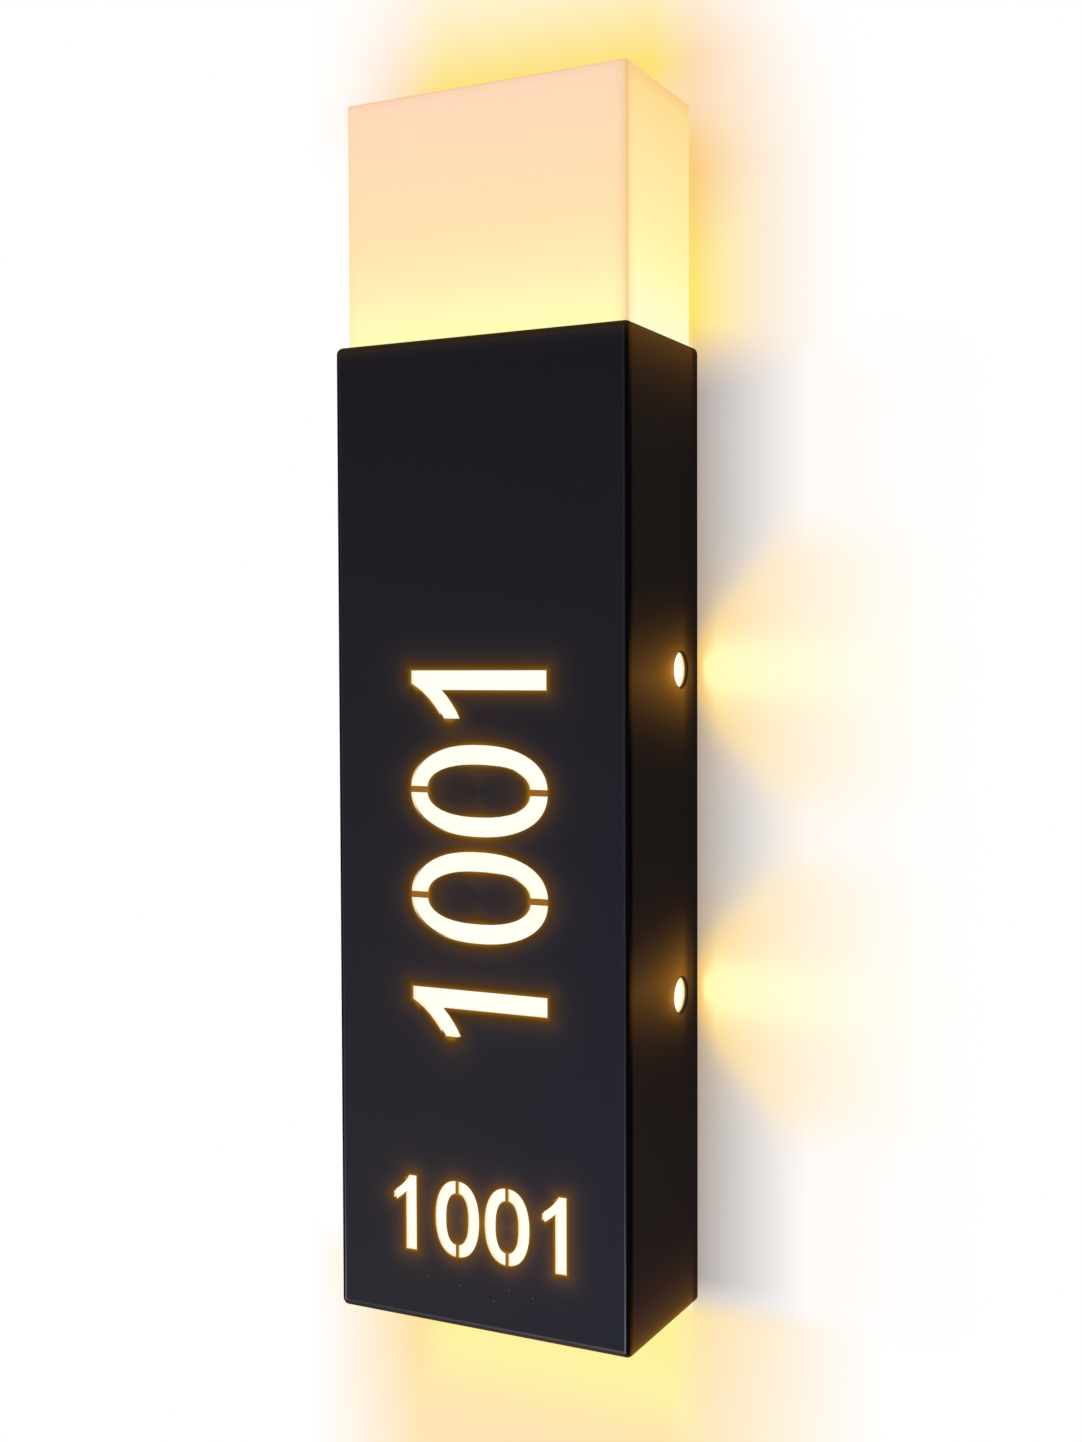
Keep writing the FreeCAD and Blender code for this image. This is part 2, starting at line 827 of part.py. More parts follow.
def make_box_fixing():
    """Spacer, clamp bar, weld studs and nuts that hold the box in the cover."""
    make_box_strip("box_spacer", box_front, size.box_setback - size.housing_sheet)
    bar_front = box_front - size.box_wall
    make_box_strip("box_clamp_bar", bar_front - size.box_bar_thickness, size.box_bar_thickness)
    studs, nuts, length = [], [], size.box_stud_length
    for x in box_stud_places:
        spot = (x, -front_inside, box_stud_height)
        studs.append(cylinder("front", spot, size.stud_diameter, length, -length))
        seat = (x, -(bar_front - size.box_bar_thickness), box_stud_height)
        nuts.append(nut("front", seat, size.nut_across, stud_hole, size.nut_height, -size.nut_height))
    sub_part("box_studs", studs)
    sub_part("box_nuts", nuts)


def diffuser_plans():
    """Half width, half height, middle x and middle z of each opal sheet."""
    large_half = size.large_cap / 2 + size.large_diffuser_margin
    small_rise = size.small_cap / 2 + size.small_diffuser_edge
    return {
        "large_number_diffuser": (large_half, large_run, size.large_shift, large_middle),
        "small_number_diffuser": (small_run, small_rise, size.small_shift, small_middle),
    }


def diffuser_stud_places(label):
    half, rise, x, z = diffuser_plans()[label]
    inset = size.diffuser_stud_inset
    if label.startswith("small"):
        return [(x + side * (half - inset), z) for side in (-1, 1)]
    return [(x + side * (half - inset), z + way * (rise - inset)) for side in (-1, 1) for way in (-1, 1)]


def make_diffusers():
    """The opal sheets behind the digits, on weld studs with washers and nuts."""
    studs, washers, nuts = [], [], []
    back = front_inside - size.diffuser_thickness
    for label, (half, rise, x, z) in diffuser_plans().items():
        part = SketchedPart(label)
        spots = diffuser_stud_places(label)

        def draw(s):
            s.box(x - half, x + half, z - rise, z + rise)
            for across, height in spots:
                s.circle(across, height, stud_hole / 2)

        part.pad("front", back, size.diffuser_thickness, draw)
        part.finished()
        for across, height in spots:
            root, seat = (across, -front_inside, height), (across, -back, height)
            length = size.diffuser_stud_length
            studs.append(cylinder("front", root, size.stud_diameter, length, -length))
            thin = size.washer_thickness
            washers.append(ring("front", seat, size.washer_diameter, stud_hole, thin, -thin))
            start = -thin - size.nut_height
            nuts.append(nut("front", seat, size.nut_across, stud_hole, size.nut_height, start))
    sub_part("diffuser_studs", studs)
    sub_part("diffuser_washers", washers)
    sub_part("diffuser_nuts", nuts)


def make_side_lights():
    """Opal discs behind the side holes, each in a stepped ring on the cover's inner wall."""
    discs, rings = [], []
    for height in side_hole_heights:
        spot = (inner_half_width, -size.side_hole_from_wall, height)
        thick, deep = size.side_disc_thickness, size.side_ring_thickness
        discs.append(cylinder("right", spot, size.side_disc_diameter, thick, -thick))
        body = cylinder("right", spot, size.side_ring_diameter, deep, -deep)
        recess = size.side_disc_diameter + size.stud_clearance
        seat = cylinder("right", spot, recess, thick + size.overrun, -thick)
        opening = size.side_disc_diameter - 2 * size.side_ring_lip
        bore = cylinder("right", spot, opening, deep + 2 * size.overrun, -deep - size.overrun)
        rings.append(cut(body, seat, bore))
    sub_part("side_discs", discs)
    sub_part("side_disc_rings", rings)


def make_bottom_light():
    """The opal sheet over the bottom window and the two clips that hold it down."""
    part = SketchedPart("bottom_diffuser")
    lap, floor = size.window_overlap, -inner_half_height
    half = inner_half_width - size.window_side + lap
    near, far = size.window_from_wall - lap, front_inside - size.window_front + lap
    part.pad("up", floor, size.diffuser_thickness, lambda s: s.box(-half, half, -far, -near))
    part.finished()
    foot, sheet_, rise = size.window_clip_reach, size.window_clip_sheet, size.diffuser_thickness
    middle = -(near + far) / 2
    width = size.window_clip_width
    clips = []
    for side in (-1, 1):
        clip = SketchedPart("left_window_clip" if side < 0 else "right_window_clip")
        inner, edge, outer = half - foot, half + size.stud_clearance, half + foot
        points = [
            (outer, floor), (outer, floor + sheet_), (edge + sheet_, floor + sheet_),
            (edge + sheet_, floor + rise + sheet_), (inner, floor + rise + sheet_),
            (inner, floor + rise), (edge, floor + rise), (edge, floor),
        ]
        outline = [(side * x, z) for x, z in points]
        clip.pad("front", -middle - width / 2, width, lambda s: s.polygon(outline))
        clips.append(clip.body)
    sub_part("bottom_diffuser_clips", clips)


def make_beads():
    """Raised round beads on the front face, under the small number."""
    radius, rise = size.bead_diameter / 2, size.bead_height
    places = [(size.housing_width * share, getattr(size, row) - half_height) for share, row in BEADS]
    ball = (radius * radius + rise * rise) / (2 * rise)
    beads = []
    for x, z in places:
        sphere = doc.addObject("Part::Sphere", "ball")
        bind(sphere, Radius=ball)
        place(sphere, "front", (x, -size.housing_depth, z), (0, 0, rise - ball))
        keep = cylinder("front", (x, -size.housing_depth, z), 2 * size.bead_diameter, 2 * rise)
        common = doc.addObject("Part::Common", "bead")
        common.Base, common.Tool = sphere, keep
        beads.append(common)
    sub_part("tactile_beads", beads)


# Wall side


def make_wall_plate():
    """The galvanised tray: flanges on three sides, a deep shelf on top, slots for wall screws."""
    part = SketchedPart("wall_plate")
    half, low, thick = tray_half_width, tray_low, size.tray_sheet
    part.pad("front", 0, thick, lambda s: s.box(-half, half, low, shelf_top))
    flange = size.tray_flange
    part.pad("front", 0, flange, lambda s: s.box(-half, thick - half, low, shelf_top))
    part.pad("front", 0, flange, lambda s: s.box(half - thick, half, low, shelf_top))
    part.pad("front", 0, flange, lambda s: s.box(-half, half, low, low + thick))
    shelf = half - size.shelf_side_gap
    part.pad("front", 0, shelf_depth, lambda s: s.box(-shelf, shelf, shelf_top - thick, shelf_top))
    through = size.overrun

    def notches(s):
        for height in side_hole_heights:
            s.box(-flange - through, -thick, height - side_notch, height + side_notch)

    part.pocket("right", half - thick - through, thick + 2 * through, notches)

    clip_half = size.clip_nose_height / 2 + size.clip_window_margin
    near = size.clip_from_wall - size.clip_window_margin
    far = size.clip_from_wall + size.clip_width + size.clip_window_margin

    def clip_window(s):
        s.box(-far, -near, clip_centre - clip_half, clip_centre + clip_half)
        s.circle(-(near + far) / 2, clip_rivet_height, clip_rivet_hole / 2)

    part.pocket("right", half - thick - through, thick + 2 * through, clip_window)
    part.pocket("right", -half - through, thick + 2 * through, clip_window)

    def back_holes(s):
        for x in both_sides(half - size.wall_screw_inset):
            for z in both_sides(half_height - size.wall_screw_end):
                s.slot(x, z, size.wall_slot_length, size.wall_slot_width)
        s.circle(size.cable_across, terminal_height, size.cable_hole_diameter / 2)
        for x, z in driver_screw_places() + block_fixing_places():
            s.circle(x, z, screw_hole / 2)
        for x in rivet_places:
            s.circle(x, bottom_rivet_height, rivet_hole / 2)
        for z in side_hole_heights:
            s.circle(side_rivet_across, z, rivet_hole / 2)

    part.pocket("front", -through, thick + 2 * through, back_holes)

    def shelf_holes(s):
        for x, y in top_screw_places():
            s.circle(x, y, screw_hole / 2)
        s.circle(top_plug_across, -size.top_lead_from_wall, size.lead_hole_diameter / 2)

    part.pocket("up", shelf_top - thick - through, thick + 2 * through, shelf_holes)

    def lock_holes(s):
        for x in lock_places:
            s.circle(x, -size.lock_from_wall, size.lock_nut_diameter / 2)

    part.pocket("up", low - through, thick + 2 * through, lock_holes)
    part.finished()


def make_grommet():
    """A rubber grommet with a flange in front of the tray and a lip level with its back."""
    spot = (size.cable_across, -size.tray_sheet, terminal_height)
    neck = size.cable_hole_diameter - 2 * size.grommet_fit
    front = cylinder("front", spot, size.grommet_flange, size.grommet_flange_thickness)
    body = cylinder("front", spot, neck, size.tray_sheet, -size.tray_sheet)
    length = size.tray_sheet + size.grommet_flange_thickness + 2 * size.overrun
    bore = cylinder("front", spot, size.grommet_bore, length, -size.tray_sheet - size.overrun)
    sub_part("cable_grommet", [cut(fuse(front, body), bore)])


def number_screw_places():
    inset = size.board_screw_inset
    heights = (number_board_low + inset, number_board_top - inset)
    return [(x, z) for x in both_sides(number_board_half - inset) for z in heights]


def small_screw_places():
    return [(x, small_middle) for x in both_sides(small_board_half - size.board_screw_inset)]


def flat_board_screws(half, near, far):
    return [(x, -(near + far) / 2) for x in both_sides(half - size.board_screw_inset)]


def top_screw_places():
    return flat_board_screws(top_board_half, size.top_board_from_wall, top_board_far)


def bottom_screw_places():
    return flat_board_screws(bottom_board_half, size.bottom_board_from_wall, bottom_board_far)


def driver_screw_places():
    return [(x, driver_centre) for x in both_sides(driver_half + size.driver_ear / 2)]


def block_fixing_places():
    return [(block_middle + step, terminal_height) for step in both_sides(size.block_pole_pitch / 2)]


def make_front_board(label, half_x, low, high, screws):
    part = SketchedPart(label)

    def draw(s):
        s.box(-half_x, half_x, low, high)
        for x, z in screws:
            s.circle(x, z, screw_hole / 2)

    part.pad("front", board_back, size.board_thickness, draw)
    part.finished()


def make_flat_board(label, start, half_x, near, far, screws):
    part = SketchedPart(label)

    def draw(s):
        s.box(-half_x, half_x, -far, -near)
        for x, y in screws:
            s.circle(x, y, screw_hole / 2)

    part.pad("up", start, size.board_thickness, draw)
    part.finished()


def spread(count, width):
    """Places of a row of LEDs about zero."""
    return [width * (index / (count - 1) - 0.5) for index in range(count)]


def make_leds(label, facing, spots):
    packages = [block(facing, spot, size.led_width, size.led_length, size.led_height) for spot in spots]
    sub_part(label, packages)


def make_boards():
    """The LED boards, the LEDs on them, and the standoffs and screws that hold them."""
    make_front_board(
        "number_board", number_board_half, number_board_low, number_board_top, number_screw_places()
    )
    make_front_board(
        "small_board", small_board_half, small_board_low, small_board_top, small_screw_places()
    )
    top_near, low_near = size.top_board_from_wall, size.bottom_board_from_wall
    make_flat_board("top_board", shelf_top, top_board_half, top_near, top_board_far, top_screw_places())
    make_flat_board(
        "bottom_board", bottom_board_low, bottom_board_half, low_near, bottom_board_far,
        bottom_screw_places(),
    )
    board_middle = (number_board_low + number_board_top) / 2
    board_height = number_board_top - number_board_low
    make_leds("number_leds", "front", [
        (x, -board_front, board_middle + z)
        for x in spread(NUMBER_LED_COLUMNS, 2 * number_led_half)
        for z in spread(NUMBER_LED_ROWS, board_height - 2 * size.number_led_end)
    ])
    make_leds("small_leds", "front", [
        (x, -board_front, small_middle + z)
        for x in spread(SMALL_LED_COLUMNS, 2 * small_led_half)
        for z in spread(SMALL_LED_ROWS, size.small_led_height)
    ])
    top_middle = -(top_near + top_board_far) / 2 - size.top_led_shift
    make_leds("top_leds", "up", [
        (x, top_middle + y, shelf_top + size.board_thickness)
        for x in spread(TOP_LED_COLUMNS, 2 * top_led_half)
        for y in spread(TOP_LED_ROWS, size.top_led_depth)
    ])
    low_led_width = 2 * (bottom_board_half - size.bottom_led_inset)
    make_leds("bottom_leds", "down", [
        (x, -bottom_led_depth, bottom_board_low) for x in spread(BOTTOM_LED_COLUMNS, low_led_width)
    ])
    front_places = number_screw_places() + small_screw_places()
    standoffs = [
        ring("front", (x, -size.tray_sheet, z), size.standoff_diameter, screw_hole, size.standoff_length)
        for x, z in front_places
    ]
    sub_part("board_standoffs", standoffs)
    screws = [small_screw("front", (x, -board_front, z)) for x, z in front_places]
    screws += [small_screw("up", (x, y, shelf_top + size.board_thickness)) for x, y in top_screw_places()]
    screws += [small_screw("down", (x, y, bottom_board_low)) for x, y in bottom_screw_places()]
    sub_part("board_screws", screws)


def make_bottom_bracket():
    """An angle bracket on the tray that carries the board facing down."""
    part = SketchedPart("bottom_bracket")
    thin, back = size.bracket_sheet, size.tray_sheet
    half, top, low = bracket_half, bracket_top, bracket_top - size.bottom_bracket_rise
    part.pad("front", back, thin, lambda s: s.box(-half, half, low, top))
    part.pad("front", back, bracket_reach, lambda s: s.box(-half, half, top - thin, top))

    def holes(s):
        for x, y in bottom_screw_places():
            s.circle(x, y, screw_hole / 2)
        s.circle(small_plug_across, -lead_depth, size.lead_hole_diameter / 2)

    part.pocket("up", bracket_under - size.overrun, thin + 2 * size.overrun, holes)

    def rivet_holes(s):
        for x in rivet_places:
            s.circle(x, bottom_rivet_height, rivet_hole / 2)

    part.pocket("front", back - size.overrun, thin + 2 * size.overrun, rivet_holes)
    part.finished()


def make_side_brackets():
    """Small angle brackets at the right, and on each a board whose LED faces its disc."""
    feet, boards, spots = [], [], []
    thin, back, right = size.bracket_sheet, size.tray_sheet, side_bracket_right
    rise = size.side_board_size / 2
    for label, height in zip(("upper", "lower"), side_hole_heights):
        foot = SketchedPart(f"{label}_side_bracket")
        left = right - size.side_bracket_foot
        foot.pad("front", back, thin, lambda s: s.box(left, right, height - rise, height + rise))
        foot.pad(
            "front", back, size.side_bracket_reach,
            lambda s: s.box(right - thin, right, height - rise, height + rise),
        )
        foot.pocket(
            "front", back - size.overrun, thin + 2 * size.overrun,
            lambda s: s.circle(side_rivet_across, height, rivet_hole / 2),
        )
        feet.append(foot.body)
        spot = (right, -size.side_hole_from_wall, height)
        boards.append(block(
            "right", spot, size.side_board_size, size.side_board_size, size.side_board_thickness
        ))
        spots.append((side_board_face, -size.side_hole_from_wall, height))
    sub_part("side_brackets", feet)
    sub_part("side_boards", boards)
    make_leds("side_leds", "right", spots)


def rivet(facing, seat, diameter, head, reach):
    """A flat-headed rivet: seat is the point under its head."""
    top = cylinder(facing, seat, head, size.rivet_head_height)
    return fuse(top, cylinder(facing, seat, diameter, reach, -reach))


def make_rivets():
    """Rivets that hold the brackets and the spring clips to the tray."""
    seat = -(size.tray_sheet + size.bracket_sheet)
    spots = [(x, seat, bottom_rivet_height) for x in rivet_places]
    spots += [(side_rivet_across, seat, height) for height in side_hole_heights]
    reach = size.bracket_sheet + size.tray_sheet * THREAD_SHARE
    sub_part("bracket_rivets", [
        rivet("front", spot, size.rivet_diameter, size.rivet_head_diameter, reach) for spot in spots
    ])
    face = tray_half_width - size.tray_sheet - size.clip_sheet
    depth = -(size.clip_from_wall + size.clip_width / 2)
    reach = size.clip_sheet + size.tray_sheet
    sub_part("clip_rivets", [
        rivet(facing, (x, depth, clip_rivet_height), size.clip_rivet_diameter, size.clip_rivet_head, reach)
        for facing, x in (("left", face), ("right", -face))
    ])


def make_spring_clips():
    """Leaf springs on the side flanges whose noses press on the cover's inner walls."""
    clips = []
    face = tray_half_width - size.tray_sheet
    nose = inner_half_width - size.clip_nose_gap
    thin, middle = size.clip_sheet, clip_centre
    low, high = middle - size.clip_height / 2, middle + size.clip_height / 2
    bend = size.clip_nose_height / 2
    for side, name in ((-1, "left_spring_clip"), (1, "right_spring_clip")):
        clip = SketchedPart(name)
        points = [
            (face, low), (face, middle - bend), (nose, middle), (face, middle + bend), (face, high),
            (face - thin, high), (face - thin, middle + bend), (nose - thin, middle),
            (face - thin, middle - bend), (face - thin, low),
        ]
        outline = [(side * x, z) for x, z in points]
        clip.pad("front", size.clip_from_wall, size.clip_width, lambda s: s.polygon(outline))
        depth = -(size.clip_from_wall + size.clip_width / 2)
        inner = face if side > 0 else -face - thin
        clip.pocket(
            "right", inner - size.overrun, thin + 2 * size.overrun,
            lambda s: s.circle(depth, clip_rivet_height, clip_rivet_hole / 2),
        )
        clips.append(clip.body)
    sub_part("spring_clips", clips)


def make_driver():
    """The LED driver: a base with two ears, its lid, and the screws through the ears."""
    half, rise, middle = driver_half, size.driver_height / 2, driver_centre
    back, wall = size.tray_sheet, size.driver_wall
    split = back + size.driver_base_depth
    base = SketchedPart("driver_base")
    base.pad(
        "front", back, size.driver_base_depth,
        lambda s: s.box(-half, half, middle - rise, middle + rise),
    )
    ear, tab = half + size.driver_ear, size.driver_ear_width / 2
    base.pad(
        "front", back, size.driver_ear_thickness,
        lambda s: s.box(-ear, ear, middle - tab, middle + tab),
    )
    base.pocket(
        "front", back + wall, size.driver_base_depth,
        lambda s: s.box(wall - half, half - wall, middle - rise + wall, middle + rise - wall),
    )

    def ear_holes(s):
        for x, z in driver_screw_places():
            s.circle(x, z, screw_hole / 2)

    base.pocket("front", back - size.overrun, size.driver_ear_thickness + 2 * size.overrun, ear_holes)
    base.finished()
    lid = SketchedPart("driver_lid")
    depth = size.driver_depth - size.driver_base_depth
    lid.pad("front", split, depth, lambda s: s.box(-half, half, middle - rise, middle + rise))
    seam = -(split.value + size.driver_corner.value / 2)
    lid.round_edges(size.driver_corner, lambda point: point.y < seam)
    lid.pocket(
        "front", split, depth - wall,
        lambda s: s.box(wall - half, half - wall, middle - rise + wall, middle + rise - wall),
    )
    lid.finished()
    seat = -(back + size.driver_ear_thickness)
    reach = size.driver_ear_thickness + size.tray_sheet * THREAD_SHARE
    sub_part("driver_screws", [small_screw("front", (x, seat, z), reach) for x, z in driver_screw_places()])


def pole_places():
    first = (TERMINAL_POLES - 1) / 2
    return [block_middle + size.block_pole_pitch * (index - first) for index in range(TERMINAL_POLES)]


def make_terminal_block():
    """A three-pole screw terminal block with its clamp screws and two fixing screws."""
    part = SketchedPart("terminal_block")
    half, z, middle = size.block_width / 2, terminal_height, block_middle
    back, front = size.tray_sheet, size.tray_sheet + size.block_depth
    part.pad(
        "front", back, size.block_depth,
        lambda s: s.box(middle - half, middle + half, block_low, block_top),
    )
    offset = size.block_screw_offset

    def wells(s):
        for x in pole_places():
            for way in (-1, 1):
                s.circle(x, z + way * offset, size.block_well_diameter / 2)

    part.pocket("front", front - size.block_well_depth, size.block_well_depth + size.overrun, wells)

    def wire_ways(s):
        for x in pole_places():
            s.circle(x, -(back + size.block_depth / 2), size.block_wire_hole / 2)

    part.pocket("up", block_low - size.overrun, size.block_height + 2 * size.overrun, wire_ways)

    def fixings(s):
        for x, height in block_fixing_places():
            s.circle(x, height, (size.block_fixing_diameter + size.stud_clearance) / 2)

    part.pocket("front", back - size.overrun, size.block_depth + 2 * size.overrun, fixings)
    part.finished()
    floor, slot = front - size.block_well_depth, size.screw_slot_depth
    wide, tall = size.block_screw_diameter, size.block_screw_height
    clamps = []
    for x in pole_places():
        for way in (-1, 1):
            spot = (x, -floor, z + way * offset)
            groove = block(
                "front", spot, wide + size.overrun, size.screw_slot_width, slot + size.overrun, tall - slot
            )
            clamps.append(cut(cylinder("front", spot, wide, tall), groove))
    sub_part("terminal_screws", clamps)
    fixings_through = size.block_depth + size.tray_sheet * THREAD_SHARE
    sub_part("terminal_fixing_screws", [
        screw(
            "front", (x, -front, height), size.block_fixing_diameter - size.stud_clearance,
            size.block_fixing_head, size.block_fixing_head_height, fixings_through,
        )
        for x, height in block_fixing_places()
    ])


def make_earth_point():
    """The earth stud on the tray, with its washer, ring tag and nut."""
    x, z, back = earth_across, terminal_height, -size.tray_sheet
    spot = (x, back, z)
    bore = size.earth_stud_diameter + 2 * size.stud_clearance
    sub_part("earth_stud", [cylinder("front", spot, size.earth_stud_diameter, size.earth_stud_length)])
    washer, tag = size.earth_washer_thickness, size.earth_tag_thickness
    sub_part("earth_washer", [ring("front", spot, size.earth_washer_diameter, bore, washer)])
    eye = cylinder("front", spot, size.earth_tag_diameter, tag, washer)
    neck_reach = size.earth_nut_across / 2 + size.overrun
    neck = block(
        "front", (x, back, z + neck_reach / 2), size.earth_barrel_diameter, neck_reach, tag, washer
    )
    barrel = cylinder(
        "up", (x, -earth_lead_depth, z + neck_reach), size.earth_barrel_diameter, size.earth_barrel_length
    )
    through = washer + tag + size.overrun
    sub_part("earth_tag", [cut(fuse(eye, neck, barrel), cylinder("front", spot, bore, through))])
    sub_part("earth_nut", [
        nut("front", spot, size.earth_nut_across, bore, size.earth_nut_height, washer + tag)
    ])


def make_locks():
    """Screws from below and the rivet nuts in the tray that they hold the cover with."""
    bore = size.lock_screw_diameter + 2 * size.fit_gap
    screws, nuts = [], []
    for x in lock_places:
        seat = (x, -size.lock_from_wall, -half_height - size.lock_head_gap)
        screws.append(screw(
            "down", seat, size.lock_screw_diameter, size.lock_head_diameter,
            size.lock_head_height, size.lock_screw_length,
        ))
        foot = (x, -size.lock_from_wall, tray_low)
        body = cylinder("up", foot, size.lock_nut_diameter - 2 * size.fit_gap, size.lock_nut_length)
        rim = cylinder("up", foot, size.lock_nut_rim, size.lock_nut_rim_height, size.tray_sheet)
        length = size.lock_nut_length + 2 * size.overrun
        nuts.append(cut(fuse(body, rim), cylinder("up", foot, bore, length, -size.overrun)))
    sub_part("lock_screws", screws)
    sub_part("lock_rivet_nuts", nuts)


# Leads


def make_lead(label, points, diameter):
    """A lead of straight runs joined by tangent arcs, as wide as its runs allow."""
    spots = [Vector(*[value_of(amount) for amount in point]) for point in points]
    runs = [(end - start).Length for start, end in zip(spots, spots[1:])]
    usable = [length * RUN_SHARE for length in runs]
    usable[0], usable[-1] = runs[0] * END_RUN_SHARE, runs[-1] * END_RUN_SHARE
    edges, here = [], spots[0]
    for index in range(1, len(spots) - 1):
        corner = spots[index]
        back = (spots[index - 1] - corner).normalize()
        ahead = (spots[index + 1] - corner).normalize()
        step = min(usable[index - 1], usable[index])
        half_turn = (math.pi - back.getAngle(ahead)) / 2
        radius = step / math.tan(half_turn)
        enter, leave = corner + back * step, corner + ahead * step
        inward = (back + ahead).normalize()
        middle = corner + inward * (radius / math.cos(half_turn) - radius)
        edges.append(Part.LineSegment(here, enter).toShape())
        edges.append(Part.Arc(enter, middle, leave).toShape())
        here = leave
    edges.append(Part.LineSegment(here, spots[-1]).toShape())
    path = Part.Wire(edges)
    heading = (spots[1] - spots[0]).normalize()
    section = Part.Wire([Part.Circle(spots[0], heading, value_of(diameter) / 2).toShape()])
    solid = path.makePipeShell([section], True, False)
    expected = math.pi * value_of(diameter) ** 2 / 4 * path.Length
    if abs(solid.Volume / expected - 1) > VOLUME_SHARE:
        raise ValueError(f"{label} has the wrong volume")
    lead = doc.addObject("Part::Feature", label)
    lead.Shape = solid
    return lead


def slack_points(x, high, low, aside):
    """A lead's points straight down a board's front, with a slack bow to one side."""
    drop = high - low
    return [
        (x, -lead_depth, high), (x, -lead_depth, high - drop / 6),
        (x + aside, -lead_depth, (high + low) / 2),
        (x, -lead_depth, low + drop / 6), (x, -lead_depth, low),
    ]


def plug(facing, spot, height):
    return block(facing, spot, size.plug_width, size.plug_length, height)


def make_leads():
    """Every lead inside the light, whole from end to end, and the plugs on the boards."""
    mains = size.mains_lead_diameter
    wire_end = block_top - size.plug_height
    live, neutral, earth = pole_places()
    way_in = -(size.tray_sheet + size.block_depth / 2)
    for label, x in (("live_lead", live), ("neutral_lead", neutral)):
        points = [(x, way_in, driver_low), (x, way_in, wire_end)]
        sub_part(label, [make_lead(label, points, mains)])
    tag_top = terminal_height + size.earth_nut_across / 2 + size.overrun + size.earth_barrel_length
    run = (driver_low + block_top) / 2 + size.mains_lead_diameter
    sub_part("earth_lead", [make_lead("earth_lead", [
        (earth_across, -earth_lead_depth, tag_top),
        (earth_across, -earth_lead_depth, run),
        (earth, way_in, run),
        (earth, way_in, wire_end),
    ], mains)])

    half_plug = size.plug_length / 2
    across, thick = number_plug_across, size.lead_diameter
    sub_part("number_lead", [make_lead(
        "number_lead", slack_points(across, driver_low, number_board_top, -size.lead_slack), thick
    )])
    sub_part("small_lead", [make_lead(
        "small_lead", slack_points(across, number_board_low, small_board_top, size.lead_slack), thick
    )])
    low_x, low_height = small_plug_across, bottom_board_low - size.low_plug_height / 2
    sub_part("bottom_lead", [make_lead("bottom_lead", [
        (low_x, -lead_depth, small_board_low), (low_x, -lead_depth, low_height),
        (low_x, -bottom_plug_front, low_height),
    ], thick)])
    top_x, top_height = top_plug_across, shelf_top + size.board_thickness + size.low_plug_height / 2
    top_front = -(size.top_board_from_wall + size.plug_inset)
    sub_part("top_lead", [make_lead("top_lead", [
        (top_x, -size.top_lead_from_wall, driver_top), (top_x, -size.top_lead_from_wall, top_height),
        (top_x, top_front, top_height),
    ], thick)])
    side_x, edge = side_board_face - size.side_board_thickness / 2, number_board_half
    board_edge = side_hole_rise - size.side_board_size / 2
    start = board_edge - size.side_lead_reach
    side_leads = []
    for name, way in (("upper_side_lead", 1), ("lower_side_lead", -1)):
        side_leads.append(make_lead(name, [
            (edge, -lead_depth, way * start), (side_x, -lead_depth, way * start),
            (side_x, -lead_depth, way * board_edge),
        ], thick))
    sub_part("side_leads", side_leads)

    tall, low = size.plug_height, size.low_plug_height
    sub_part("lead_plugs", [
        plug("front", (across, -board_front, number_board_top - half_plug), tall),
        plug("front", (across, -board_front, number_board_low + half_plug), tall),
        plug("front", (across, -board_front, small_board_top - half_plug), tall),
        plug("front", (low_x, -board_front, small_board_low + half_plug), tall),
        plug("front", (edge - half_plug, -board_front, start), tall),
        plug("front", (edge - half_plug, -board_front, -start), tall),
        plug("up", (top_x, top_front - half_plug, shelf_top + size.board_thickness), low),
        plug("down", (low_x, -(bottom_plug_front + half_plug), bottom_board_low), low),
    ])


def check_and_write():
    """Stops if any object failed, then writes one file for each sub-part."""
    doc.recompute()
    for item in doc.Objects:
        if "Invalid" in item.State or "Error" in item.State:
            raise ValueError(f"{item.Label} failed: {item.State}")
    for item in sub_parts:
        if item.Shape.isNull() or not item.Shape.isValid():
            raise ValueError(f"{item.Label} has no valid shape")
    os.makedirs("parts", exist_ok=True)
    for item in sub_parts:
        item.Shape.exportStep(f"parts/{item.Label}.step")
    print(f"{len(sub_parts)} sub-parts written")


make_housing()
make_opal_box()
make_box_fixing()
make_diffusers()
make_side_lights()
make_bottom_light()
make_beads()
make_wall_plate()
make_grommet()
make_boards()
make_bottom_bracket()
make_side_brackets()
make_rivets()
make_spring_clips()
make_driver()
make_terminal_block()
make_earth_point()
make_locks()
make_leads()
check_and_write()
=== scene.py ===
"""Looks of a room number wall light: an opal box on a stencilled black cover, lit from inside.

The frame is in metres, +X to the right seen from the room, +Y into the wall, +Z up.
Sizes here are in millimetres and become metres through MM.
"""
import logging
import math
from dataclasses import dataclass
from enum import Enum
from typing import Callable, Iterable, Sequence, Union

import bmesh
import bpy
from mathutils import Matrix, Vector


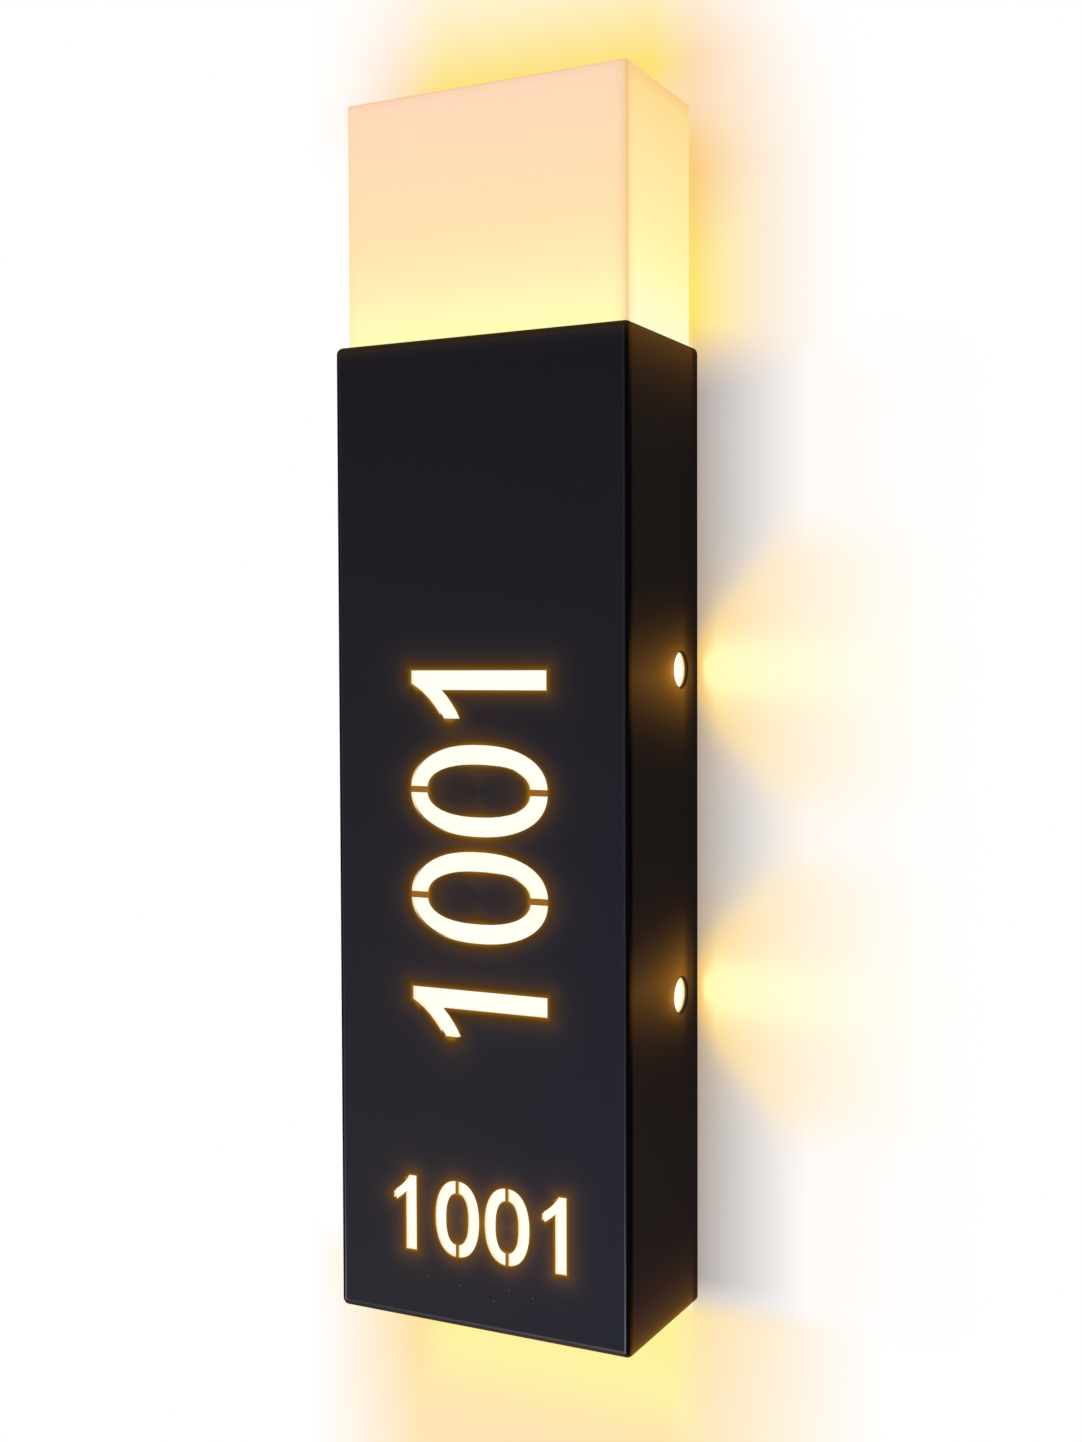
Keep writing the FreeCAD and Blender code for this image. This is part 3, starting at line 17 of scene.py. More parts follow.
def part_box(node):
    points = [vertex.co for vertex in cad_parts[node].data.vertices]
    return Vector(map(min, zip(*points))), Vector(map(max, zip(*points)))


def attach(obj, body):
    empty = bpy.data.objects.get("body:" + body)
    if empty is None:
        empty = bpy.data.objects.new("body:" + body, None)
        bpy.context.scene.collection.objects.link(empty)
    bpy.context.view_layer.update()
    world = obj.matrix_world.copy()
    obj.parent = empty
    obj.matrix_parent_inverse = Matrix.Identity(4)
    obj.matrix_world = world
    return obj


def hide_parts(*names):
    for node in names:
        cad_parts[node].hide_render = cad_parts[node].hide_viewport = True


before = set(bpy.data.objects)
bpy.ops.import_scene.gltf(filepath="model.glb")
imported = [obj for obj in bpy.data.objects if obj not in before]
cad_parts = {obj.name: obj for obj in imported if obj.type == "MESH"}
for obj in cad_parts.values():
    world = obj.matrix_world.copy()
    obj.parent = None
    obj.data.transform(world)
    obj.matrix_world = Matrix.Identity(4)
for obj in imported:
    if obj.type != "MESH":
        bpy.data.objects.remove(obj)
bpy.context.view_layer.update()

LOG = logging.getLogger("wall_light")
MM = 0.001

Colour = tuple[float, float, float]
Amount = Union["Signal", float]

# How many grains of a finish one of its clouds spans, and how far its roughness wanders.
CLOUD_SPAN = 12.0
WEAR = 0.16
# Points nearer than this, in metres, become one, and faces that turn less than this many
# degrees become one. Edges up to the third value, in degrees too, are shaded as one surface.
MERGE_DISTANCE = 0.000002
FLAT_ANGLE = 0.4
SMOOTH_ANGLE = 50.0


class Body(Enum):
    """The bodies that a piece can ride on."""

    TRAY = "tray"
    COVER = "cover"


class Facing(Enum):
    """Ways that an LED points, as the turn about X in degrees that brings +Z there."""

    FRONT = 90.0
    UP = 0.0
    DOWN = 180.0

    def turn(self) -> Matrix:
        """The turn as a matrix."""
        return Matrix.Rotation(math.radians(self.value), 4, "X")


# Shader maths


class Signal:
    """One output of a shader node, which takes part in Python sums.

    Args:
        pen: The pen that draws the tree of this output.
        socket: The output itself.
    """

    def __init__(self, pen: "Pen", socket: bpy.types.NodeSocket | None) -> None:
        """Keeps the pen and the output, which is None for a tree's last node."""
        self.pen = pen
        self.socket = socket

    def __add__(self, other: Amount) -> "Signal":
        """Sum."""
        return self.pen.math("ADD", self, other)

    def __radd__(self, other: Amount) -> "Signal":
        """Sum with a number on the left."""
        return self.pen.math("ADD", other, self)

    def __sub__(self, other: Amount) -> "Signal":
        """Difference."""
        return self.pen.math("SUBTRACT", self, other)

    def __rsub__(self, other: Amount) -> "Signal":
        """Difference from a number on the left."""
        return self.pen.math("SUBTRACT", other, self)

    def __mul__(self, other: Amount) -> "Signal":
        """Product."""
        return self.pen.math("MULTIPLY", self, other)

    def __rmul__(self, other: Amount) -> "Signal":
        """Product with a number on the left."""
        return self.pen.math("MULTIPLY", other, self)

    def __truediv__(self, other: Amount) -> "Signal":
        """Quotient."""
        return self.pen.math("DIVIDE", self, other)

    def __rtruediv__(self, other: Amount) -> "Signal":
        """Quotient with a number on the left."""
        return self.pen.math("DIVIDE", other, self)

    def __neg__(self) -> "Signal":
        """Opposite value."""
        return self.pen.math("MULTIPLY", self, -1.0)

    def __abs__(self) -> "Signal":
        """Size without its sign."""
        return self.pen.math("ABSOLUTE", self)

    def __pow__(self, power: Amount) -> "Signal":
        """Power."""
        return self.pen.math("POWER", self, power)

    def least(self, other: Amount) -> "Signal":
        """The smaller of two values."""
        return self.pen.math("MINIMUM", self, other)

    def most(self, other: Amount) -> "Signal":
        """The larger of two values."""
        return self.pen.math("MAXIMUM", self, other)

    def root(self) -> "Signal":
        """Square root."""
        return self.pen.math("SQRT", self)

    def wrapped(self, step: float) -> "Signal":
        """What is left over after whole steps."""
        return self.pen.math("FLOORED_MODULO", self, step)

    def fading(self, reach: float) -> "Signal":
        """One at zero, falling off by a factor e over each reach."""
        return self.pen.math("EXPONENT", self * (-1.0 / reach))

    def between(self, low: float, high: float) -> "Signal":
        """Smooth step from 0 at low to 1 at high, where low may be the larger.

        Args:
            low: Value that gives 0.
            high: Value that gives 1.

        Returns:
            The step's value.
        """
        if low > high:
            return 1.0 - self.between(high, low)
        settings = {"interpolation_type": "SMOOTHSTEP"}
        return self.pen.node("ShaderNodeMapRange", settings, {0: self, 1: low, 2: high, 3: 0.0, 4: 1.0})

    def clamped(self) -> "Signal":
        """The value kept from 0 to 1."""
        return self.pen.node("ShaderNodeMath", {"operation": "ADD", "use_clamp": True}, {0: self, 1: 0.0})


class Pen:
    """Draws nodes in one material's or world's tree.

    Args:
        tree: The tree that gets the nodes.
    """

    def __init__(self, tree: bpy.types.NodeTree) -> None:
        """Keeps the tree and a place for its coordinates, which are made once."""
        self.tree = tree
        self.spot: tuple[Signal, Signal, Signal] | None = None

    @classmethod
    def on(cls, owner: bpy.types.Material | bpy.types.World) -> "Pen":
        """A pen on the emptied tree of a material or world.

        Args:
            owner: What owns the tree.

        Returns:
            The pen.
        """
        owner.use_nodes = True
        owner.node_tree.nodes.clear()
        return cls(owner.node_tree)

    def node(self, kind: str, settings: dict | None = None, inputs: dict | None = None,
             output: int | str = 0) -> Signal:
        """Adds a node, sets it up and fills its sockets.

        Args:
            kind: The node's type.
            settings: Properties that are set first. "stops" fills a colour ramp.
            inputs: Values or signals by socket name or number.
            output: The output that the caller reads.

        Returns:
            The wanted output.
        """
        made = self.tree.nodes.new(kind)
        for name, value in (settings or {}).items():
            if name == "stops":
                self.fill_ramp(made.color_ramp, value)
            else:
                setattr(made, name, value)
        for name, value in (inputs or {}).items():
            if isinstance(value, Signal):
                self.tree.links.new(value.socket, made.inputs[name])
            else:
                made.inputs[name].default_value = value
        return Signal(self, made.outputs[output]) if made.outputs else Signal(self, None)

    @staticmethod
    def fill_ramp(ramp: bpy.types.ColorRamp, stops: Sequence[tuple[float, Colour]]) -> None:
        """Puts the stops into a colour ramp.

        Args:
            ramp: The ramp.
            stops: Position and colour of each stop, from left to right.
        """
        while len(ramp.elements) < len(stops):
            ramp.elements.new(1.0)
        for element, (position, colour) in zip(ramp.elements, stops):
            element.position = position
            element.color = (*colour, 1.0)

    def math(self, operation: str, first: Amount, second: Amount = 0.0) -> Signal:
        """One Math node."""
        return self.node("ShaderNodeMath", {"operation": operation}, {0: first, 1: second})

    def split(self, vector: Signal) -> tuple[Signal, Signal, Signal]:
        """The three values of a vector."""
        made = self.node("ShaderNodeSeparateXYZ", {}, {0: vector}).socket.node
        return tuple(Signal(self, output) for output in made.outputs)

    def place(self) -> tuple[Signal, Signal, Signal]:
        """The point on the piece in millimetres along X, Y and Z.

        Returns:
            The three values, from the same nodes each time.
        """
        if self.spot is None:
            inputs = {0: self.object_point(), 3: 1.0 / MM}
            self.spot = self.split(self.node("ShaderNodeVectorMath", {"operation": "SCALE"}, inputs))
        return self.spot

    def object_point(self) -> Signal:
        """Object coordinates, in metres."""
        return self.node("ShaderNodeTexCoord", output="Object")

    def facing(self) -> tuple[Signal, Signal, Signal]:
        """The surface's own normal, as three values."""
        return self.split(self.node("ShaderNodeTexCoord", output="Normal"))

    @staticmethod
    def colour(value: Colour | Signal) -> tuple | Signal:
        """A colour with its alpha, or a signal as it is."""
        return value if isinstance(value, Signal) else (*value, 1.0)

    def mix(self, first: Colour | Signal, second: Colour | Signal, share: Amount) -> Signal:
        """Blend of two colours.

        Args:
            first: Colour at share 0.
            second: Colour at share 1.
            share: How much of the second.

        Returns:
            The blended colour.
        """
        inputs = {0: share, 6: self.colour(first), 7: self.colour(second)}
        return self.node("ShaderNodeMix", {"data_type": "RGBA"}, inputs, 2)

    def plus(self, first: Signal, second: Signal) -> Signal:
        """Sum of two colours."""
        return self.node("ShaderNodeVectorMath", {"operation": "ADD"}, {0: first, 1: second})

    def times(self, tint: Colour, amount: Signal) -> Signal:
        """A colour at a strength that varies."""
        return self.node("ShaderNodeVectorMath", {"operation": "SCALE"}, {0: tint, 3: amount})

    def joined(self, red: Amount, green: Amount, blue: Amount) -> Signal:
        """A colour from three values."""
        return self.node("ShaderNodeCombineXYZ", {}, {0: red, 1: green, 2: blue})

    def noise(self, per_metre: float, detail: float = 2.0, stretch: Colour = (1.0, 1.0, 1.0)) -> Signal:
        """Cloudy noise on the piece.

        Args:
            per_metre: How many features a metre holds.
            detail: Octaves of finer noise.
            stretch: Scale along each axis.

        Returns:
            Values about 0.5.
        """
        inputs = {0: self.object_point(), 1: stretch}
        point = self.node("ShaderNodeVectorMath", {"operation": "MULTIPLY"}, inputs)
        return self.node("ShaderNodeTexNoise", {}, {"Vector": point, "Scale": per_metre, "Detail": detail})

    def cells(self, per_metre: float) -> Signal:
        """Crystal cells on the piece, each of a colour of its own."""
        inputs = {"Vector": self.object_point(), "Scale": per_metre}
        return self.node("ShaderNodeTexVoronoi", {}, inputs, "Color")

    def bump(self, height: Signal, depth: float) -> Signal:
        """A normal raised by a height of so many metres."""
        return self.node("ShaderNodeBump", {}, {"Height": height, "Distance": depth, "Strength": 1.0})


# Finishes


@dataclass(frozen=True)
class Finish:
    """A plain finish with its grain, which the others build on.

    Attributes:
        name: The record's slot that it is for.
        base: Body colour.
        roughness: How dull it is.
        metallic: 1 for bare metal.
        specular: Strength of the gloss of what isn't metal.
        grain: Features of its grain in a metre.
        relief: Height of its grain, in metres.
        drift: How far its colour wanders.
    """

    name: str
    base: Colour
    roughness: float = 0.5
    metallic: float = 0.0
    specular: float = 0.4
    grain: float = 900.0
    relief: float = 0.00002
    drift: float = 0.12

    def sockets(self, pen: Pen) -> dict:
        """What varies over the surface, by socket name of the shader.

        Args:
            pen: The pen of the material.

        Returns:
            Values or signals by socket name of the shader.
        """
        cloud = pen.noise(self.grain / CLOUD_SPAN, 3.0)
        fine = pen.noise(self.grain, 2.0)
        dark = tuple(channel * (1 - self.drift) for channel in self.base)
        light = tuple(min(1.0, channel * (1 + self.drift)) for channel in self.base)
        return {
            "Base Color": pen.mix(dark, light, cloud),
            "Roughness": self.roughness + (cloud - 0.5) * WEAR,
            "Normal": pen.bump(fine, self.relief),
        }

    def constants(self) -> dict:
        """What is the same all over, by socket name of the shader."""
        return {"Metallic": self.metallic, "Specular IOR Level": self.specular}

    def material(self) -> bpy.types.Material:
        """Makes the material, once.

        Returns:
            The material of this finish.
        """
        name = f"{self.name}_finish"
        known = bpy.data.materials.get(name)
        if known:
            return known
        made = bpy.data.materials.new(name)
        pen = Pen.on(made)
        shader = pen.node("ShaderNodeBsdfPrincipled", {}, {**self.constants(), **self.sockets(pen)})
        pen.node("ShaderNodeOutputMaterial", {}, {"Surface": shader})
        return made


@dataclass(frozen=True)
class Number:
    """A stencilled number of two zeros between two ones, and its glow on the metal round it.

    Attributes:
        across: Middle of the number along X.
        height: Middle of the number along Z.
        cap: Height of a digit.
        stroke: Width of a stroke.
        zero: Width of a zero.
        pitch: Step from digit to digit.
        stem_offset: How far a one's stem stands off the middle of its place.
        turned: True where the number reads upwards.
        reach: How far its glow reaches.
        strength: How strong its glow is at a stroke.
        inside: How strong the even light inside its zeros is.
    """

    across: float
    height: float
    cap: float
    stroke: float
    zero: float
    pitch: float
    stem_offset: float
    turned: bool
    reach: float
    strength: float
    inside: float

    def zero_share(self, aside: Signal, up: Signal) -> Signal:
        """Nought at a zero's middle and one along the middle of its band.

        Args:
            aside: Distance from the zero's middle along the reading.
            up: Distance from it upwards.

        Returns:
            The share, kept a little above nought.
        """
        half_short, half_long = (self.zero - self.stroke) / 2, (self.cap - self.stroke) / 2
        parts = abs(aside * (1.0 / half_short)) ** ZERO_POWER + abs(up * (1.0 / half_long)) ** ZERO_POWER
        return (parts ** (1.0 / ZERO_POWER)).most(TINY_SHARE)

    def from_zero(self, aside: Signal, up: Signal, share: Signal) -> Signal:
        """Distance from one zero's oval band, whose middle is at nought."""
        away = (aside * aside + up * up).root().most(TINY_SHARE * (self.zero - self.stroke) / 2)
        return (abs(away - away / share) - self.stroke / 2).most(0.0)

    def from_ones(self, along: Signal, up: Signal) -> Signal:
        """Distance from the outer ones, each a stem with a flag to its left.

        Args:
            along: Distance from the number's middle along the reading.
            up: Distance from it upwards.

        Returns:
            The distance in millimetres, nought on a stroke.
        """
        span, cap, half = 3 * self.pitch, self.cap, self.stroke / 2
        near = (along - self.stem_offset).most(0.01 - span).least(span - 0.01)
        aside = near.wrapped(span) - span / 2
        taper = ((up / cap - STEM_CUT_SHARE) / (0.5 - STEM_CUT_SHARE)).clamped()
        left = half * (1.0 - STEM_TAPER_SHARE * taper)
        beside = (aside - half).most(-aside - left).most(0.0)
        above = (abs(up) - cap / 2).most(0.0)
        stem = (beside * beside + above * above).root()
        run_x, run_y = -FLAG_REACH_SHARE * cap, (FLAG_TIP_SHARE - FLAG_ROOT_SHARE) * cap
        from_root = up - (FLAG_ROOT_SHARE - 0.5) * cap
        share = ((aside * run_x + from_root * run_y) / (run_x ** 2 + run_y ** 2)).clamped()
        gap_x, gap_y = aside - share * run_x, from_root - share * run_y
        flag = ((gap_x * gap_x + gap_y * gap_y).root() - FLAG_HALF_SHARE * cap).most(0.0)
        return stem.least(flag)

    def halo(self, away: Signal) -> Signal:
        """Light on the metal at a distance from a stroke: a bright rim and a long tail."""
        return away.fading(self.reach * 0.35) * 0.6 + away.fading(self.reach * 1.5) * 0.4

    def light(self, pen: Pen) -> tuple[Signal, Signal]:
        """The number's light on the cover.

        Args:
            pen: The pen of the coat's material.

        Returns:
            The light on the metal, and the distance from the nearest stroke.
        """
        x, _, z = pen.place()
        along, up = x - self.across, z - self.height
        if self.turned:
            along, up = up, -along
        ones = self.from_ones(along, up)
        total, nearest = self.halo(ones), ones
        for side in (-0.5, 0.5):
            aside = along - side * self.pitch
            share = self.zero_share(aside, up)
            away = self.from_zero(aside, up, share)
            total = total + self.halo(away) + share.between(0.9, 0.6) * (self.inside / self.strength)
            nearest = nearest.least(away)
        return total * self.strength + nearest.fading(7.0) * 0.008, nearest


# Where a one's stem is cut and its flag runs, as shares of a digit's height.
STEM_CUT_SHARE = 0.4575
FLAG_REACH_SHARE = 0.215
FLAG_ROOT_SHARE = 0.91
FLAG_TIP_SHARE = 0.71
FLAG_HALF_SHARE = 0.05
# How much of the stem's left half the cut takes away at the top.
STEM_TAPER_SHARE = 0.66
# The power of a zero's oval, and the least share that its middle is given.
ZERO_POWER = 2.3
TINY_SHARE = 0.01
LARGE_NUMBER = Number(across=0.15, height=-2.2, cap=46.1, stroke=5.85, zero=27.6, pitch=32.2,
                      stem_offset=1.0, turned=True, reach=1.5, strength=0.28, inside=0.010)
SMALL_NUMBER = Number(across=0.8, height=-116.8, cap=23.0, stroke=3.75, zero=15.2, pitch=17.1,
                      stem_offset=0.9, turned=False, reach=1.4, strength=0.29, inside=0.045)


@dataclass(frozen=True)
class PowderCoat(Finish):
    """The cover's black powder coat, with painted light and shade, and the light that the lamp throws on it
    painted as glow.

    Attributes:
        lit_foot_base: Body colour at the foot with painted light, making the front a little lighter there.
        lit_foot_right_base: Body colour at the foot's right with painted light, a little lighter and bluer.
        shaded_side_base: Body colour of the sides with painted shade, darker and browner than the front.
        lit_low_side_base: Body colour of the sides at the foot with painted warm light.
        digit_glow_base: Body colour close to the digits with a painted warm tint from their light.
        bend_shade_base: Body colour in the middle of a bend, a painted shade.
        line: Colour of the painted highlight lines along the upright bends.
        foot_line: Colour of the painted highlight line along the bend at the foot.
        halo: Colour of the light round the digits.
        lit_cut: Colour of the painted light on the digits' cut edges at the front.
        deep_cut: Colour of the painted light on the same edges farther in, near the lit sheet.
        top_light: Colour of the box's light at the top of the front.
        warmth: Colour of the light on the sides.
        dim_wall: Colour of the painted shade on a side hole's wall near its mouth.
        lit_wall: Colour of the painted light on a side hole's wall near its disc.
        bend: Radius of the bends.
        sheet: Thickness of the sheet.
        hole: Radius of the holes in the right side.
        hole_depth: How far the holes' middles lie in front of the wall.
        hole_rise: Height of the upper hole, and depth of the lower one.
        beams: The middle height and the strength of each hole's light on the side.
    """

    lit_foot_base: Colour = (0.0238, 0.0231, 0.0308)
    lit_foot_right_base: Colour = (0.0205, 0.0220, 0.0325)
    shaded_side_base: Colour = (0.0078, 0.0045, 0.0035)
    lit_low_side_base: Colour = (0.0190, 0.0112, 0.0115)
    digit_glow_base: Colour = (0.011, 0.0075, 0.0045)
    bend_shade_base: Colour = (0.0015, 0.001, 0.0015)
    line: Colour = (0.75, 0.82, 1.0)
    foot_line: Colour = (1.0, 0.80, 0.62)
    halo: Colour = (1.0, 0.42, 0.035)
    lit_cut: Colour = (0.75, 0.41, 0.09)
    deep_cut: Colour = (0.96, 0.86, 0.66)
    top_light: Colour = (1.0, 0.56, 0.10)
    warmth: Colour = (1.0, 0.385, 0.025)
    dim_wall: Colour = (0.078, 0.034, 0.010)
    lit_wall: Colour = (1.0, 0.78, 0.36)
    bend: float = 2.2
    sheet: float = 1.5
    hole: float = 5.5
    hole_depth: float = 14.2
    hole_rise: float = 50.0
    beams: tuple = ((48.0, 1.0), (-44.0, 0.9))

    def sockets(self, pen: Pen) -> dict:
        """Coat, its fine orange peel, painted light, shade and highlight lines in its body colour, and the
        lamp's glow painted on it.

        Args:
            pen: The pen of the material.

        Returns:
            Values or signals by socket name of the shader.
        """
        low, high = (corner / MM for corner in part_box("housing"))
        (large, from_large), (small, from_small) = LARGE_NUMBER.light(pen), SMALL_NUMBER.light(pen)
        # Share close to the digits, where the body colour gets their painted warm light.
        near_digit = from_large.between(3.9, 1.0).most(from_small.between(2.4, 0.6))
        on_digits = (large + small, from_large.least(from_small))
        cloud = pen.noise(26.0, 3.0)
        return {
            # The body colour holds painted light, shade and highlights; the emission holds the lamp's light
            # painted on the coat.
            "Base Color": self.body(pen, low, high, near_digit),
            "Roughness": self.roughness + (cloud - 0.5) * 0.12,
            "Normal": pen.bump(pen.noise(self.grain, 2.0), self.relief),
            "Emission Color": self.light(pen, low, high, on_digits),
        }

    def on_front(self, pen: Pen, low: Vector) -> Signal:
        """One on the front, and nought from where its bends end."""
        _, y, _ = pen.place()
        return y.between(low.y + self.bend + 0.1, low.y + 0.15)

    def body(self, pen: Pen, low: Vector, high: Vector, near_digit: Signal) -> Signal:
        """The coat's body colour, with painted light and shade and painted highlight lines.

        Args:
            pen: The pen of the coat's material.
            low: The cover's lowest corner, in millimetres.
            high: The cover's highest corner.
            near_digit: One close to the digits, where their painted warm light tints the body colour.

        Returns:
            The colour by height, side and nearness to the digits and bends, with that painted light and
            shade.
        """
        x, _, z = pen.place()
        drop = ((high.z - z) / (high.z - low.z)).clamped()
        on_front, turned = self.on_front(pen, low), self.turning(pen, high)
        # Painted light: the front is made lighter towards the foot and a little bluer at its right.
        foot = pen.mix(self.lit_foot_base, self.lit_foot_right_base, x.between(-10.0, 46.0))
        # Painted shade on the sides, with painted warm light towards their foot.
        side = pen.mix(self.shaded_side_base, self.lit_low_side_base, drop * drop)
        base = pen.mix(side, pen.mix(self.base, foot, drop), on_front)
        # Painted warm tint from the digits' light on the metal close to them.
        base = pen.mix(base, self.digit_glow_base, near_digit * on_front)
        # Painted shade in the middle of each bend.
        base = pen.mix(base, self.bend_shade_base, turned)
        # Painted highlight lines where the front starts to bend, added to the body colour.
        return pen.plus(base, self.lines(pen, low, high, on_front * (1.0 - turned)))

    def light(self, pen: Pen, low: Vector, high: Vector, on_digits: tuple[Signal, Signal]) -> Signal:
        """The lamp's light on the coat.

        Args:
            pen: The pen of the coat's material.
            low: The cover's lowest corner, in millimetres.
            high: The cover's highest corner.
            on_digits: The digits' light and the distance from them.

        Returns:
            The light round the digits, in their cuts, on the sides and under the box.
        """
        _, y, z = pen.place()
        glow, away = on_digits
        front = y.between(low.y + self.bend, low.y + self.bend - 0.3)
        light = pen.plus(pen.times(self.halo, glow * front), self.side_light(pen, low, high))
        # Painted light on the digits' cut edges, warmer at the front and paler near the lit sheet.
        cut = away.between(0.6, 0.3) * front * y.between(low.y + 0.05, low.y + 0.2)
        cut_light = pen.mix(self.lit_cut, self.deep_cut, y.between(low.y + 0.2, low.y + 0.6))
        top = (high.z - z).fading(1.5) * self.on_front(pen, low) * 0.055
        return pen.plus(pen.mix(light, cut_light, cut), pen.times(self.top_light, top))

    def turning(self, pen: Pen, high: Vector) -> Signal:
        """One in the middle of a bend between the front and a side, by the way the surface faces.

        Args:
            pen: The pen of the material.
            high: The cover's highest corner, in millimetres.

        Returns:
            The share, where the bend's painted shade goes.
        """
        x, _, z = pen.place()
        across, deep, up = pen.facing()
        aside = (across * across + up * up).root()
        rim = (high.x - abs(x)).least(high.z - z)
        bent = (aside * abs(deep) * 2.0).between(0.25, 0.8) * deep.between(0.0, -0.1)
        return bent * rim.between(self.bend + 0.3, self.bend + 0.1)

    def lines(self, pen: Pen, low: Vector, high: Vector, share: Signal) -> Signal:
        """Painted highlight lines where the front starts to bend, brightest towards the foot.

        Args:
            pen: The pen of the material.
            low: The cover's lowest corner, in millimetres.
            high: The cover's highest corner.
            share: Where lines may be.

        Returns:
            The lines' colour, black elsewhere.
        """
        x, _, z = pen.place()
        drop = ((high.z - z) / (high.z - low.z)).clamped()
        low_part = z.between(low.z + 0.4, low.z + 3.0) * drop ** 9.0
        from_side = abs(abs(x) - (high.x - self.bend + 0.3))
        side = from_side.between(0.4, 0.05) * (0.012 + 0.17 * low_part)
        from_foot = abs(z - (low.z + self.bend - 0.2))
        patchy = pen.noise(90.0, 2.0).between(0.1, 0.6)
        foot = from_foot.between(0.55, 0.05) * (0.03 + 0.05 * x.between(-50.0, 50.0)) * patchy
        return pen.plus(pen.times(self.line, side * share), pen.times(self.foot_line, foot * share))

    def hole_light(self, pen: Pen, rise: float, middle: float) -> tuple[Signal, Signal]:
        """Light of one hole on the side round it.

        Args:
            pen: The pen of the coat's material.
            rise: Height of the hole.
            middle: Height of the middle of its light.

        Returns:
            The light, and the distance from the hole's edge.
        """
        _, y, z = pen.place()
        level, deep = abs(z - rise), y + self.hole_depth
        band = ((abs(z - middle) / 10.0) ** 1.5).fading(1.0) * abs(deep).fading(28.0) * 0.27
        away = (level * level + deep * deep).root() - self.hole
        oval = ((level / self.hole) ** 2.0 + (deep / (2 * self.hole)) ** 2.0).root() - 0.5
        rim = oval.most(0.0).fading(0.32) * 0.42 * (1.0 - 0.93 * deep.between(0.0, 4.5))
        ring = away.between(0.65, 0.15) * (0.35 + 0.6 * deep.between(-4.0, 2.0))
        behind = 1.0 - 0.6 * deep.between(2.0, 7.0)
        return (behind * band + rim) * (1.0 - ring), away

    def side_light(self, pen: Pen, low: Vector, high: Vector) -> Signal:
        """Light on the sides: round each hole, under the box and above the foot.

        Args:
            pen: The pen of the material.
            low: The cover's lowest corner, in millimetres.
            high: The cover's highest corner.

        Returns:
            The light's colour.
        """
        x, y, z = pen.place()
        right, sides = (place.between(high.x - 0.9, high.x - 0.1) for place in (x, abs(x)))
        under, over = high.z - z, z - low.z
        ends = under.fading(8.0) * 0.105 + over.fading(6.5) * 0.135 + over.fading(1.1) * 0.4
        front = over.between(1.9, 0.2) * y.between(low.y + 2.4, low.y + 2.1) * x.between(-70.0, 50.0)
        total = sides * ends + front * (1.0 - sides) * 0.085
        walls = []
        for rise, (middle, strength) in zip((self.hole_rise, -self.hole_rise), self.beams):
            beam, away = self.hole_light(pen, rise, middle)
            total = total + right * strength * beam
            walls.append(away.between(0.3, 0.1))
        wall = walls[0].most(walls[1]) * x.between(high.x - self.sheet - 0.5, high.x - self.sheet - 0.2)
        light = pen.times(self.warmth, total * (1.0 - 0.75 * y.between(-6.5, -3.0)))
        # Painted shade on each hole's wall near its mouth, and painted light near its disc.
        light = pen.mix(light, self.dim_wall, wall * x.between(high.x - 0.15, high.x - 0.4))
        return pen.mix(light, self.lit_wall, wall * x.between(high.x - 0.8, high.x - 1.3))

    def constants(self) -> dict:
        """Gloss and the strength of the light on the coat."""
        return {**super().constants(), "Emission Strength": 1.0}


@dataclass(frozen=True)
class Opal(Finish):
    """Opal acrylic lit from behind, its light wandering a little between two tints.

    Attributes:
        hot: Colour of its hotter light, mixed in by its clouds.
        glow: Colour of the rest of its light.
        strength: Strength of its light.
    """

    hot: Colour = (1.0, 0.95, 0.62)
    glow: Colour = (1.0, 0.95, 0.62)
    strength: float = 1.3

    def sockets(self, pen: Pen) -> dict:
        """Milky body with light that wanders a little.

        Args:
            pen: The pen of the material.

        Returns:
            Values or signals by socket name of the shader.
        """
        cloud = pen.noise(self.grain, 2.0)
        return {
            "Base Color": pen.mix(self.base, tuple(min(1.0, part * 1.3) for part in self.base), cloud),
            "Roughness": self.roughness + (cloud - 0.5) * 0.1,
            "Normal": pen.bump(pen.noise(700.0), self.relief),
            "Emission Color": pen.mix(self.glow, self.hot, cloud.between(0.3, 0.7)),
        }

    def constants(self) -> dict:
        """Gloss and the strength of the light."""
        return {**super().constants(), "Emission Strength": self.strength}


